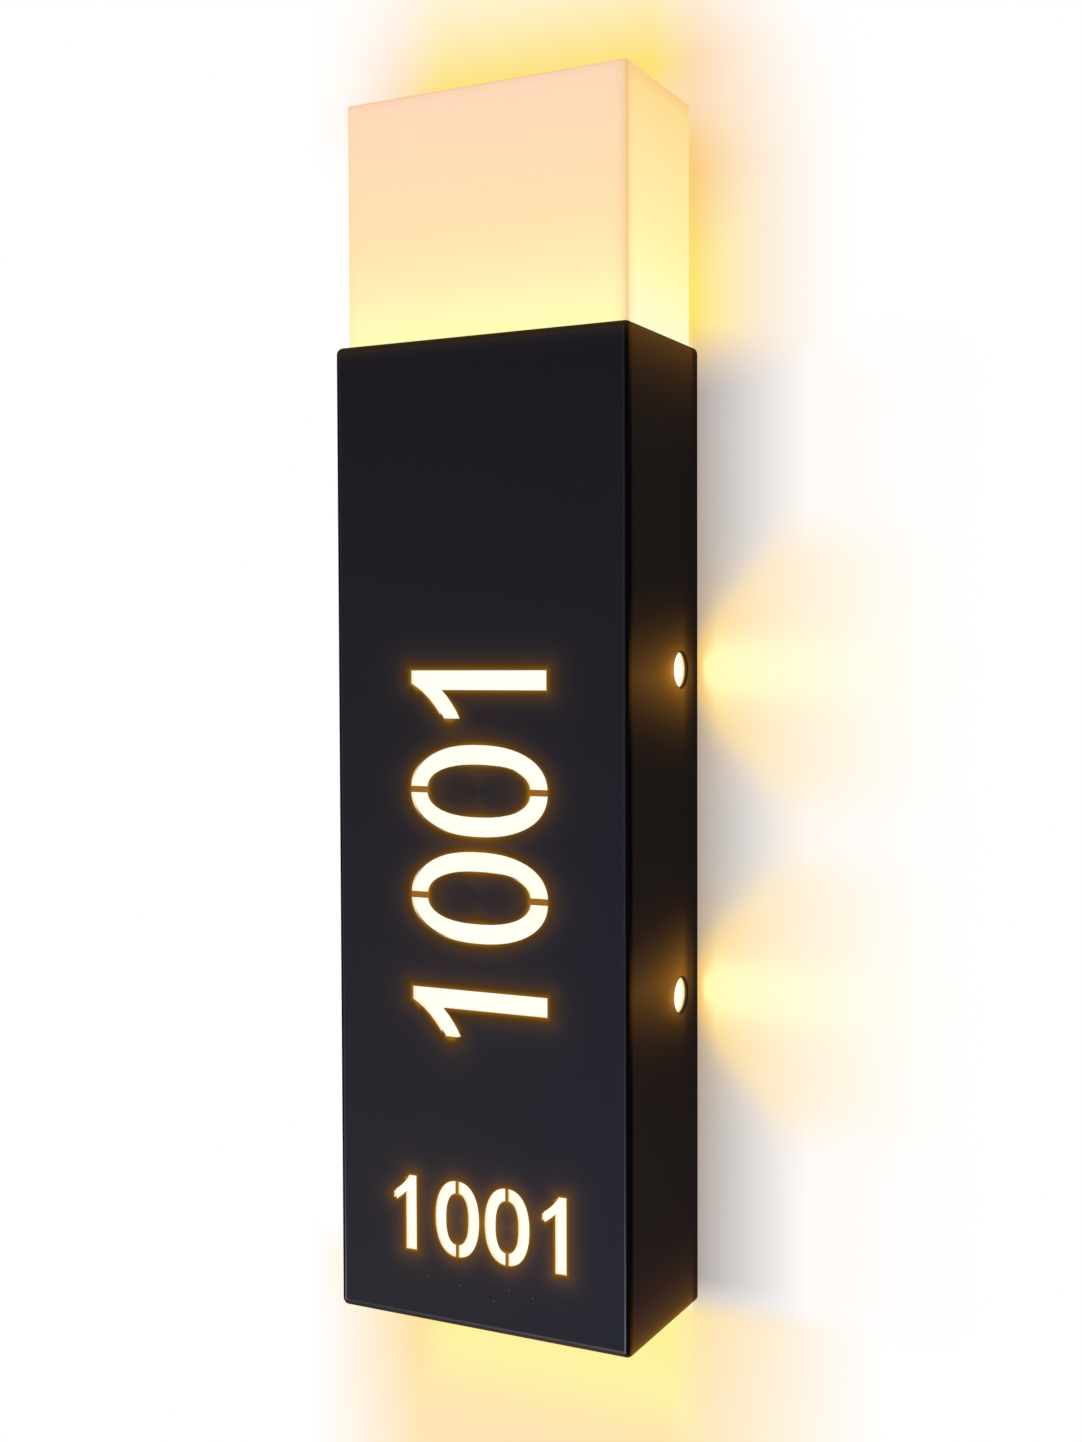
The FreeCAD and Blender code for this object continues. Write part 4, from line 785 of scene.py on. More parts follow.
@dataclass(frozen=True)
class GlowingBox(Opal):
    """The opal box: pinkish at the top, lemon at its foot, darker along its edges.

    Attributes:
        sunk: How far the box stands in the cover, in millimetres.
        front_stops: Colours of the front's light by share of the height in sight.
        flank_stops: The same for the sides.
        edge_light: Colour of the light along the upright edges at the front.
        rim_light: Colour of the light along the upper edges.
    """

    sunk: float = 14.0
    front_stops: tuple = (
        (0.0, (0.94, 0.93, 0.41)), (0.13, (0.94, 0.862, 0.417)), (0.24, (0.94, 0.768, 0.391)),
        (0.40, (0.94, 0.705, 0.373)), (0.60, (0.93, 0.667, 0.385)), (0.95, (0.92, 0.63, 0.43)),
        (1.0, (0.90, 0.57, 0.38)),
    )
    flank_stops: tuple = (
        (0.0, (0.92, 0.90, 0.57)), (0.13, (0.92, 0.895, 0.495)), (0.24, (0.91, 0.885, 0.41)),
        (0.40, (0.91, 0.81, 0.345)), (0.70, (0.91, 0.72, 0.305)), (0.93, (0.89, 0.635, 0.235)),
        (1.0, (0.88, 0.52, 0.165)),
    )
    edge_light: Colour = (0.84, 0.46, 0.18)
    rim_light: Colour = (0.80, 0.50, 0.20)

    def sockets(self, pen: Pen) -> dict:
        """Colour of the light by height, side and nearness to an edge.

        Args:
            pen: The pen of the material.

        Returns:
            Values or signals by socket name of the shader.
        """
        x, y, z = pen.place()
        low, high = (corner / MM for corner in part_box("opal_box"))
        share = (z - (low.z + self.sunk)) / (high.z - low.z - self.sunk)
        front, flank = (pen.node("ShaderNodeValToRGB", {"stops": stops}, {0: share})
                        for stops in (self.front_stops, self.flank_stops))
        light = pen.mix(front, flank, abs(x).between(high.x - 0.9, high.x - 0.3))
        to_side, to_front = high.x - abs(x), y - low.y
        edge = (to_side + to_front).fading(1.5) * (0.3 + 0.6 * x.between(-1.0, 1.0))
        light = pen.mix(light, self.edge_light, edge)
        rim = (high.z - z).between(1.1, 0.3) * to_side.least(to_front).between(1.0, 0.2)
        light = pen.mix(light, self.rim_light, rim * 0.7)
        cloud = pen.noise(30.0, 2.0)
        return {
            "Base Color": pen.mix(self.base, (0.07, 0.06, 0.05), cloud),
            "Roughness": self.roughness + (cloud - 0.5) * 0.1,
            "Normal": pen.bump(pen.noise(500.0), self.relief),
            "Emission Color": light,
        }


@dataclass(frozen=True)
class GlowingDisc(Opal):
    """The opal discs behind the side holes, amber at the rim of each hole."""

    def sockets(self, pen: Pen) -> dict:
        """Colour of the light by distance from the hole's middle.

        Args:
            pen: The pen of the material.

        Returns:
            Values or signals by socket name of the shader.
        """
        _, y, z = pen.place()
        coat = BY_SLOT["black_powder_coat"]
        level, deep = abs(z) - coat.hole_rise, y + coat.hole_depth
        away = (level * level + deep * deep).root()
        rim = away.between(coat.hole - 3.0, coat.hole + 0.5)
        return {**super().sockets(pen), "Emission Color": pen.mix(self.hot, self.glow, rim * rim)}


@dataclass(frozen=True)
class Galvanised(Finish):
    """Zinc-coated sheet with its crystals."""

    def sockets(self, pen: Pen) -> dict:
        """Crystals of many tones, and a light sheet grain.

        Args:
            pen: The pen of the material.

        Returns:
            Values or signals by socket name of the shader.
        """
        tone = pen.node("ShaderNodeSeparateXYZ", {}, {0: pen.cells(self.grain)})
        fine = pen.noise(1200.0, 2.0, (1.0, 1.0, 0.08))
        mottle = (tone * 0.7 + pen.noise(60.0, 3.0) * 0.3).clamped()
        dark = tuple(channel * 0.72 for channel in self.base)
        return {
            "Base Color": pen.mix(dark, self.base, mottle),
            "Roughness": self.roughness - 0.1 + mottle * 0.2,
            "Normal": pen.bump(tone * 0.5 + fine, self.relief),
        }


@dataclass(frozen=True)
class BoardMask(Finish):
    """A board's white mask, with copper tracks that show through it.

    Attributes:
        upright: Step, outer and inner half width of the upright tracks, in millimetres.
        level: The same for the level tracks.
        start: How far outside the light the tracks are counted from.
        track_tint: Colour of the mask over a track.
        cloud_tint: Colour of the mask where it is a little creamier.
    """

    upright: tuple[float, float, float] = (12.0, 1.7, 1.4)
    level: tuple[float, float, float] = (14.0, 0.9, 0.6)
    start: float = 200.0
    track_tint: Colour = (0.70, 0.70, 0.66)
    cloud_tint: Colour = (0.86, 0.84, 0.76)

    def bands(self, spot: Signal, step: float, outer: float, inner: float) -> Signal:
        """Bands that repeat at a step along a place in millimetres."""
        return abs((spot + self.start).wrapped(step) - step / 2).between(outer, inner)

    def sockets(self, pen: Pen) -> dict:
        """Tracks as faint raised bands in two directions, and the mask's own drift.

        Args:
            pen: The pen of the material.

        Returns:
            Values or signals by socket name of the shader.
        """
        x, y, z = pen.place()
        track = self.bands(x, *self.upright).most(self.bands(z - y, *self.level))
        cloud = pen.noise(40.0, 3.0)
        body = pen.mix(self.base, self.track_tint, track * 0.55)
        return {
            "Base Color": pen.mix(body, self.cloud_tint, cloud.between(0.5, 0.9) * 0.4),
            "Roughness": self.roughness + track * 0.08,
            "Normal": pen.bump(track, self.relief),
        }


@dataclass(frozen=True)
class Striped(Finish):
    """Insulation of two colours, side by side along the lead.

    Attributes:
        second: The second colour.
    """

    second: Colour = (0.72, 0.62, 0.03)

    def sockets(self, pen: Pen) -> dict:
        """One side of the lead in each colour.

        Args:
            pen: The pen of the material.

        Returns:
            Values or signals by socket name of the shader.
        """
        x, y, _ = pen.facing()
        share = (x * 0.7 + y * 0.7).between(-0.08, 0.08)
        return {**super().sockets(pen), "Base Color": pen.mix(self.base, self.second, share)}


# Each finish with its colour, roughness, metallic, specular, grain, relief and drift.
FINISHES: tuple[Finish, ...] = (
    PowderCoat("black_powder_coat", (0.0102, 0.0093, 0.0138), 0.6, 0.0, 0.013, 1500.0, 0.000012),
    Finish("black_foam", (0.02, 0.02, 0.022), 0.9, 0.0, 0.2, 1400.0, 0.0001),
    Galvanised("galvanised_steel", (0.62, 0.64, 0.66), 0.42, 0.85, 0.5, 110.0, 0.00002),
    Finish("zinc_fastener", (0.66, 0.67, 0.70), 0.3, 0.95, 0.5, 2200.0, 0.00001),
    Finish("spring_steel", (0.50, 0.50, 0.52), 0.28, 0.95, 0.5, 1500.0, 0.00001),
    Finish("aluminium_rivet", (0.78, 0.79, 0.80), 0.34, 0.95, 0.5, 2000.0, 0.00001),
    Finish("brass", (0.72, 0.52, 0.22), 0.3, 0.95, 0.5, 2000.0, 0.00001),
    Finish("white_nylon", (0.80, 0.79, 0.76), 0.45, 0.0, 0.4, 900.0, 0.000015, 0.05),
    Finish("grey_rubber", (0.075, 0.075, 0.08), 0.75, 0.0, 0.3, 1100.0, 0.00004),
    BoardMask("white_mask", (0.83, 0.84, 0.83), 0.34, 0.0, 0.45, 900.0, 0.00004),
    Finish("led_package", (0.86, 0.86, 0.83), 0.4, 0.0, 0.4, 900.0, 0.00001, 0.05),
    Finish("driver_shell", (0.71, 0.72, 0.73), 0.5, 0.0, 0.35, 1300.0, 0.00003, 0.06),
    Finish("white_insulation", (0.80, 0.80, 0.78), 0.42, 0.0, 0.4, 600.0, 0.00001, 0.05),
    Finish("brown_insulation", (0.10, 0.043, 0.018), 0.42, 0.0, 0.4, 600.0, 0.00001),
    Finish("blue_insulation", (0.03, 0.14, 0.52), 0.42, 0.0, 0.4, 600.0, 0.00001),
    Striped("green_yellow_insulation", (0.03, 0.30, 0.06), 0.42, 0.0, 0.4, 600.0, 0.00001),
)
BY_SLOT: dict[str, Finish] = {finish.name: finish for finish in FINISHES}

BOX_LIGHT = GlowingBox("box_light", (0.05, 0.045, 0.04), 0.35, 0.0, 0.1, 40.0, 0.00001, strength=1.0)
DIGIT_LIGHT = Opal("digit_light", (0.06, 0.055, 0.05), 0.4, 0.0, 0.1, 30.0, hot=(1.0, 0.97, 0.87),
                   glow=(1.0, 0.955, 0.82), strength=0.98)
DISC_LIGHT = GlowingDisc("disc_light", (0.06, 0.055, 0.05), 0.4, 0.0, 0.1, 30.0, hot=(1.0, 0.98, 0.90),
                         glow=(1.0, 0.88, 0.46), strength=0.98)
FOOT_LIGHT = Opal("foot_light", (0.5, 0.48, 0.42), 0.4, 0.0, 0.3, 30.0, hot=(1.0, 0.93, 0.52),
                  glow=(1.0, 0.90, 0.46), strength=1.15)
BEAD_COAT = Finish("bead_coat", (0.008, 0.008, 0.010), 0.42, 0.0, 0.35, 900.0, 0.000004)
PHOSPHOR = Opal("phosphor", (0.72, 0.52, 0.05), 0.4, 0.0, 0.3, 900.0, hot=(1.0, 0.86, 0.42),
                glow=(1.0, 0.78, 0.30), strength=1.2)


# Modelling


class Bench:
    """Modelling steps that several pieces share, all through Blender's own operators."""

    @staticmethod
    def only(*pieces: bpy.types.Object) -> None:
        """Selects these objects alone and makes the first one active.

        Args:
            *pieces: The objects.
        """
        bpy.ops.object.select_all(action="DESELECT")
        for piece in pieces:
            piece.select_set(True)
        bpy.context.view_layer.objects.active = pieces[0]

    @classmethod
    def editing(cls, piece: bpy.types.Object, steps: Callable[[], None]) -> None:
        """Runs steps in edit mode with the whole piece selected.

        Args:
            piece: The piece to work on.
            steps: What to do there.
        """
        cls.only(piece)
        bpy.ops.object.mode_set(mode="EDIT")
        bpy.ops.mesh.select_all(action="SELECT")
        steps()
        bpy.ops.object.mode_set(mode="OBJECT")

    @staticmethod
    def pick_faces(test: Callable[[bmesh.types.BMFace], bool]) -> None:
        """Selects the faces of the piece in edit mode that pass a test.

        Args:
            test: What a face has to pass.
        """
        bpy.ops.mesh.select_mode(type="FACE")
        mesh = bpy.context.edit_object.data
        made = bmesh.from_edit_mesh(mesh)
        for face in made.faces:
            face.select_set(test(face))
        made.select_flush_mode()
        bmesh.update_edit_mesh(mesh)

    @staticmethod
    def block(name: str, low: Vector, high: Vector) -> bpy.types.Object:
        """A block between two corners, in metres.

        Args:
            name: Name of the object.
            low: Lowest corner.
            high: Highest corner.

        Returns:
            The block, with its place in its mesh.
        """
        bpy.ops.object.select_all(action="DESELECT")
        bpy.ops.mesh.primitive_cube_add(size=1.0, location=(low + high) / 2)
        made = bpy.context.object
        made.scale = high - low
        bpy.ops.object.transform_apply(location=True, rotation=True, scale=True)
        made.name = name
        return made

    @classmethod
    def modified(cls, piece: bpy.types.Object, kind: str, **settings: object) -> None:
        """Adds a modifier, sets it up and applies it.

        Args:
            piece: The piece that it changes.
            kind: The modifier's type.
            **settings: Its properties.
        """
        cls.only(piece)
        step = piece.modifiers.new("step", kind)
        for name, value in settings.items():
            setattr(step, name, value)
        bpy.ops.object.modifier_apply(modifier=step.name)

    @classmethod
    def cut(cls, piece: bpy.types.Object, *tools: bpy.types.Object) -> None:
        """Cuts tools out of a piece and deletes them.

        Args:
            piece: The piece to cut.
            *tools: Closed objects that stand where material goes.
        """
        for tool in tools:
            cls.modified(piece, "BOOLEAN", operation="DIFFERENCE", object=tool, solver="EXACT")
            bpy.data.objects.remove(tool)

    @classmethod
    def softened(cls, piece: bpy.types.Object, width: float, steps: int = 2, angle: float = 38.0) -> None:
        """Rounds the sharp edges a little and smooths the shading.

        Args:
            piece: The piece to soften.
            width: Width of the rounding, in metres.
            steps: Faces across the rounding.
            angle: Sharpest edge, in degrees, that stays as it is.
        """
        if width:
            cls.modified(piece, "BEVEL", width=width, segments=steps, limit_method="ANGLE",
                         angle_limit=math.radians(angle), use_clamp_overlap=True)
        cls.only(piece)
        bpy.ops.object.shade_smooth_by_angle(angle=math.radians(SMOOTH_ANGLE))
        cls.modified(piece, "WEIGHTED_NORMAL", keep_sharp=True, weight=90)

    @classmethod
    def taken(cls, node: str) -> bpy.types.Object:
        """A merged copy of a CAD node's mesh, clean enough to work on.

        Args:
            node: The node to copy.

        Returns:
            The copy, named for the node.
        """
        made = bpy.data.objects.new(f"{node}_piece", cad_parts[node].data.copy())
        bpy.context.scene.collection.objects.link(made)
        cls.only(made)
        bpy.ops.mesh.customdata_custom_splitnormals_clear()

        def merge() -> None:
            """Joins the loose triangles into clean faces."""
            bpy.ops.mesh.remove_doubles(threshold=MERGE_DISTANCE)
            bpy.ops.mesh.dissolve_limited(angle_limit=math.radians(FLAT_ANGLE))

        cls.editing(made, merge)
        return made

    @classmethod
    def together(cls, name: str, pieces: Sequence[bpy.types.Object]) -> bpy.types.Object:
        """Joins objects into one with a name.

        Args:
            name: Name of the object and of its mesh.
            pieces: The objects to join.

        Returns:
            The object.
        """
        cls.only(*pieces)
        if len(pieces) > 1:
            bpy.ops.object.join()
        made = bpy.context.view_layer.objects.active
        made.name = name
        made.data.name = name
        return made

    @staticmethod
    def copied(pattern: bpy.types.Object, turn: Matrix,
               places: Iterable[Vector]) -> list[bpy.types.Object]:
        """Copies a pattern to each place, each with its own mesh, and deletes the pattern.

        Args:
            pattern: An object modelled about the origin.
            turn: How each copy is turned.
            places: Where each copy goes, in metres.

        Returns:
            The copies.
        """
        made = []
        for spot in places:
            twin = bpy.data.objects.new(pattern.name, pattern.data.copy())
            twin.data.transform(Matrix.Translation(spot) @ turn)
            bpy.context.scene.collection.objects.link(twin)
            made.append(twin)
        bpy.data.objects.remove(pattern)
        return made


@dataclass
class Assembly:
    """Pieces of one part of the light, all on one body.

    Attributes:
        body: The body that the pieces ride on.
        edges: Nodes that only get softened edges, with the rounding's width in millimetres and
            the faces across it.
    """

    body: Body = Body.TRAY
    edges: tuple[tuple[str, float, int], ...] = ()

    @staticmethod
    def slot_of(node: str) -> str:
        """The material slot that the record names for a node."""
        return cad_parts[node].data.materials[0].name.split(".")[0]

    def dress(self, piece: bpy.types.Object, finish: Finish, node: str) -> bpy.types.Object:
        """Gives a piece its finish and body, and hides the node that it stands for.

        Args:
            piece: The finished piece.
            finish: Its finish.
            node: The CAD node that it replaces.

        Returns:
            The piece.
        """
        if len(piece.data.materials) > 1:
            piece.data.materials[0] = finish.material()
        else:
            piece.data.materials.clear()
            piece.data.materials.append(finish.material())
        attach(piece, self.body.value)
        self.slot_of(node)
        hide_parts(node)
        LOG.info("%s rides on %s", piece.name, self.body.value)
        return piece

    def soften(self, node: str, width: float, steps: int = 2, finish: Finish | None = None,
               angle: float = 38.0) -> bpy.types.Object:
        """Stands a copy with rounded edges in a node's place.

        Args:
            node: The CAD node.
            width: Width of the rounding, in millimetres.
            steps: Faces across the rounding.
            finish: Its finish, or None for the record's own.
            angle: Sharpest edge, in degrees, that stays as it is.

        Returns:
            The new piece.
        """
        piece = Bench.taken(node)
        Bench.softened(piece, width * MM, steps, angle)
        return self.dress(piece, finish or BY_SLOT[self.slot_of(node)], node)

    def soften_each(self) -> None:
        """Softens every node of the table of edges."""
        for node, width, steps in self.edges:
            self.soften(node, width, steps)

    def carved(self, node: str, tools: Sequence[bpy.types.Object], width: float) -> None:
        """Stands a copy with cuts and rounded edges in a node's place.

        Args:
            node: The CAD node.
            tools: What is cut out of it.
            width: Width of the rounding, in millimetres.
        """
        piece = Bench.taken(node)
        Bench.cut(piece, *tools)
        Bench.softened(piece, width * MM)
        self.dress(piece, BY_SLOT[self.slot_of(node)], node)

    def keep(self, *nodes: str, finish: Finish | None = None) -> None:
        """Leaves CAD nodes as they are, with a better finish.

        Args:
            *nodes: The nodes.
            finish: Their finish, or None for the record's own.
        """
        for node in nodes:
            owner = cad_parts[node]
            made = (finish or BY_SLOT[self.slot_of(node)]).material()
            owner.data.materials.clear()
            owner.data.materials.append(made)
            LOG.info("%s keeps its shape", node)


# The light's own parts


@dataclass
class Cover(Assembly):
    """The black cover and the beads on its front.

    Attributes:
        edge: Rounding of the cut edges, in millimetres.
        sharpest: Sharpest edge, in degrees, that stays as it is.
    """

    body: Body = Body.COVER
    edge: float = 0.14
    sharpest: float = 30.0

    def build(self) -> None:
        """Makes the cover with softened cuts, and dresses the beads."""
        self.soften("housing", self.edge, angle=self.sharpest)
        self.keep("tactile_beads", finish=BEAD_COAT)


@dataclass
class BoxOnTop(Assembly):
    """The opal box and what clamps it in the cover.

    Attributes:
        edge: Rounding of the box's edges, in millimetres.
    """

    body: Body = Body.COVER
    edge: float = 0.25
    edges: tuple = (
        ("box_spacer", 0.3, 2), ("box_clamp_bar", 0.2, 2), ("box_studs", 0.25, 2), ("box_nuts", 0.3, 2),
    )

    def build(self) -> None:
        """Makes the box and its fixing."""
        self.soften("opal_box", self.edge, finish=BOX_LIGHT)
        self.soften_each()


@dataclass
class Diffusers(Assembly):
    """Opal sheets and discs inside the cover, with their fixings.

    Attributes:
        edge: Rounding of the opal sheets' edges, in millimetres.
    """

    body: Body = Body.COVER
    edge: float = 0.3
    edges: tuple = (
        ("diffuser_studs", 0.25, 2), ("diffuser_washers", 0.12, 2), ("diffuser_nuts", 0.3, 2),
        ("side_disc_rings", 0.3, 2), ("bottom_diffuser_clips", 0.15, 2),
    )

    def build(self) -> None:
        """Makes each lit sheet and the small parts round it."""
        for node, finish in (("large_number_diffuser", DIGIT_LIGHT), ("small_number_diffuser", DIGIT_LIGHT),
                             ("side_discs", DISC_LIGHT), ("bottom_diffuser", FOOT_LIGHT)):
            self.soften(node, self.edge, finish=finish)
        self.soften_each()


@dataclass
class WallTray(Assembly):
    """The galvanised tray, its brackets, rivets, springs and grommet."""

    edges: tuple = (
        ("wall_plate", 0.3, 2), ("cable_grommet", 0.7, 3), ("bottom_bracket", 0.25, 2),
        ("side_brackets", 0.25, 2), ("bracket_rivets", 0.4, 3), ("clip_rivets", 0.3, 3),
        ("spring_clips", 0.1, 2), ("lock_screws", 0.45, 3), ("lock_rivet_nuts", 0.2, 2),
    )

    def build(self) -> None:
        """Makes the tray and what is riveted or pushed into it."""
        self.soften_each()


@dataclass
class LightBoards(Assembly):
    """LED boards with their packages, standoffs and screws.

    Attributes:
        fields: Nodes of LEDs, where they point, and how many stand across and up or deep.
        edge: Rounding of the boards and of the side LEDs, in millimetres.
        package: Size of an LED package in millimetres.
        corner: Bevel of a package's edges.
        corner_angle: Least angle of the edges that are bevelled, in degrees.
        rim: Width of the wall round the phosphor.
        well: Depth of the phosphor below the wall.
        well_shares: How much the well narrows, as shares of its mouth.
    """

    edges: tuple = (("board_standoffs", 0.25, 2), ("board_screws", 0.35, 2))
    fields: tuple = (
        ("number_leds", Facing.FRONT, 4, 9), ("small_leds", Facing.FRONT, 6, 2),
        ("top_leds", Facing.UP, 6, 2), ("bottom_leds", Facing.DOWN, 6, 1),
    )
    edge: float = 0.12
    package: Colour = (3.5, 2.8, 0.7)
    corner: float = 0.12
    corner_angle: float = 60.0
    rim: float = 0.45
    well: float = 0.12
    well_shares: Colour = (0.86, 0.82, 1.0)

    def led(self) -> bpy.types.Object:
        """One LED package about the origin, its foot at zero, with its phosphor in a well.

        Returns:
            The package, with two material slots.
        """
        wide, deep, tall = (amount * MM for amount in self.package)
        made = Bench.block("led", Vector((-wide / 2, -deep / 2, 0)), Vector((wide / 2, deep / 2, tall)))
        made.data.materials.append(BY_SLOT["led_package"].material())
        made.data.materials.append(PHOSPHOR.material())

        def shape() -> None:
            """Insets the top, sinks and narrows it, and gives its floor the phosphor."""
            Bench.pick_faces(lambda face: face.normal.z > 0.9)
            bpy.ops.mesh.inset(thickness=self.rim * MM)
            bpy.ops.mesh.extrude_region_move(TRANSFORM_OT_translate={"value": (0, 0, -self.well * MM)})
            bpy.ops.transform.resize(value=self.well_shares)
            bpy.context.object.active_material_index = 1
            bpy.ops.object.material_slot_assign()

        Bench.editing(made, shape)
        Bench.modified(made, "BEVEL", width=self.corner * MM, segments=1, limit_method="ANGLE",
                       angle_limit=math.radians(self.corner_angle))
        return made

    def led_place(self, node: str, facing: Facing, across: float, over: float) -> Vector:
        """Foot of the LED at shares of a node's box, across and over.

        Args:
            node: The node of LEDs.
            facing: Where they point.
            across: Share of the box's width, from the left.
            over: Share of its height, or of its depth where the LEDs point up or down.

        Returns:
            The place, in metres.
        """
        low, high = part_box(node)
        wide, deep, _ = (amount * MM for amount in self.package)
        x = low.x + wide / 2 + across * (high.x - low.x - wide)
        if facing is Facing.FRONT:
            return Vector((x, high.y, low.z + deep / 2 + over * (high.z - low.z - deep)))
        y = low.y + deep / 2 + over * (high.y - low.y - deep)
        return Vector((x, y, low.z if facing is Facing.UP else high.z))

    def led_field(self, node: str, facing: Facing, columns: int, rows: int) -> None:
        """Fills a node's box with LED packages in columns and rows.

        Args:
            node: The node of LEDs.
            facing: Where they point.
            columns: How many across.
            rows: How many up or deep.
        """
        places = [self.led_place(node, facing, column / max(1, columns - 1), row / max(1, rows - 1))
                  for column in range(columns) for row in range(rows)]
        pieces = Bench.copied(self.led(), facing.turn(), places)
        self.dress(Bench.together(f"{node}_piece", pieces), BY_SLOT["led_package"], node)

    def build(self) -> None:
        """Makes the boards and everything on them."""
        for node in ("number_board", "small_board", "top_board", "bottom_board", "side_boards"):
            self.soften(node, self.edge, 1)
        for leds in self.fields:
            self.led_field(*leds)
        self.soften("side_leds", self.edge, 1, PHOSPHOR)
        self.soften_each()


@dataclass
class Driver(Assembly):
    """The LED driver: moulded base, lid with cooling slots, and its screws.

    Attributes:
        slots: How many cooling slots the lid has on each side.
        slot: Width, length and depth of a slot, in millimetres.
        pitch: Step between slots.
        inset: How far the slots and the sunk panel stay from the lid's edges.
        panel_depth: Depth of the sunk panel.
        overrun: How far the cutting tools stand out of the lid.
        edge: Rounding of the lid's edges.
    """

    edges: tuple = (("driver_base", 0.3, 2), ("driver_screws", 0.35, 2))
    slots: int = 5
    slot: Colour = (1.2, 11.0, 0.7)
    pitch: float = 2.6
    inset: float = 4.0
    panel_depth: float = 0.3
    overrun: float = 1.0
    edge: float = 0.2

    def build(self) -> None:
        """Makes the driver."""
        low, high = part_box("driver_lid")
        wide, long, deep = (amount * MM for amount in self.slot)
        middle, front = (low + high) / 2, low.y - self.overrun * MM
        tools = []
        for side in (-1, 1):
            for index in range(self.slots):
                x = middle.x + side * ((high.x - low.x) / 2 - (self.inset + index * self.pitch) * MM)
                tools.append(Bench.block("slot", Vector((x - wide / 2, front, middle.z - long / 2)),
                                         Vector((x + wide / 2, low.y + deep, middle.z + long / 2))))
        aside, up = (self.inset + self.slots * self.pitch) * MM, self.inset * MM
        tools.append(Bench.block("panel", Vector((low.x + aside, front, low.z + up)),
                                 Vector((high.x - aside, low.y + self.panel_depth * MM, high.z - up))))
        self.carved("driver_lid", tools, self.edge)
        self.soften_each()


@dataclass
class Mains(Assembly):
    """Terminal block, earth point and the leads of the mains side.

    Attributes:
        groove: Width and depth of the grooves between the poles, in millimetres.
        pole_pitch: Step between the poles.
        foot: Thickness of the block's foot, which the grooves leave whole.
        overrun: How far the cutting tools stand out of the block's front.
        edge: Rounding of the block's edges.
    """

    edges: tuple = (
        ("terminal_screws", 0.25, 2), ("terminal_fixing_screws", 0.25, 2), ("earth_stud", 0.25, 2),
        ("earth_nut", 0.25, 2), ("earth_washer", 0.12, 2), ("earth_tag", 0.12, 2),
    )
    groove: tuple[float, float] = (0.9, 1.1)
    pole_pitch: float = 9.0
    foot: float = 2.0
    overrun: float = 1.0
    edge: float = 0.3

    def build(self) -> None:
        """Makes the block with a groove between poles, and dresses the rest."""
        low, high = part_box("terminal_block")
        wide, deep = (amount * MM for amount in self.groove)
        middle, apart = (low.x + high.x) / 2, self.pole_pitch * MM
        tools = []
        for x in (middle - apart / 2, middle + apart / 2):
            for side in (low.z, high.z):
                tools.append(Bench.block(
                    "groove", Vector((x - wide / 2, low.y - self.overrun * MM, side - deep)),
                    Vector((x + wide / 2, high.y - self.foot * MM, side + deep))))
        self.carved("terminal_block", tools, self.edge)
        self.soften_each()
        self.keep("live_lead", "neutral_lead", "earth_lead")


@dataclass
class Leads(Assembly):
    """Leads between the boards and the plugs on them."""

    edges: tuple = (("lead_plugs", 0.35, 2),)

    def build(self) -> None:
        """Dresses the leads and makes the plugs."""
        self.keep("number_lead", "small_lead", "bottom_lead", "top_lead", "side_leads")
        self.soften_each()


# The studio


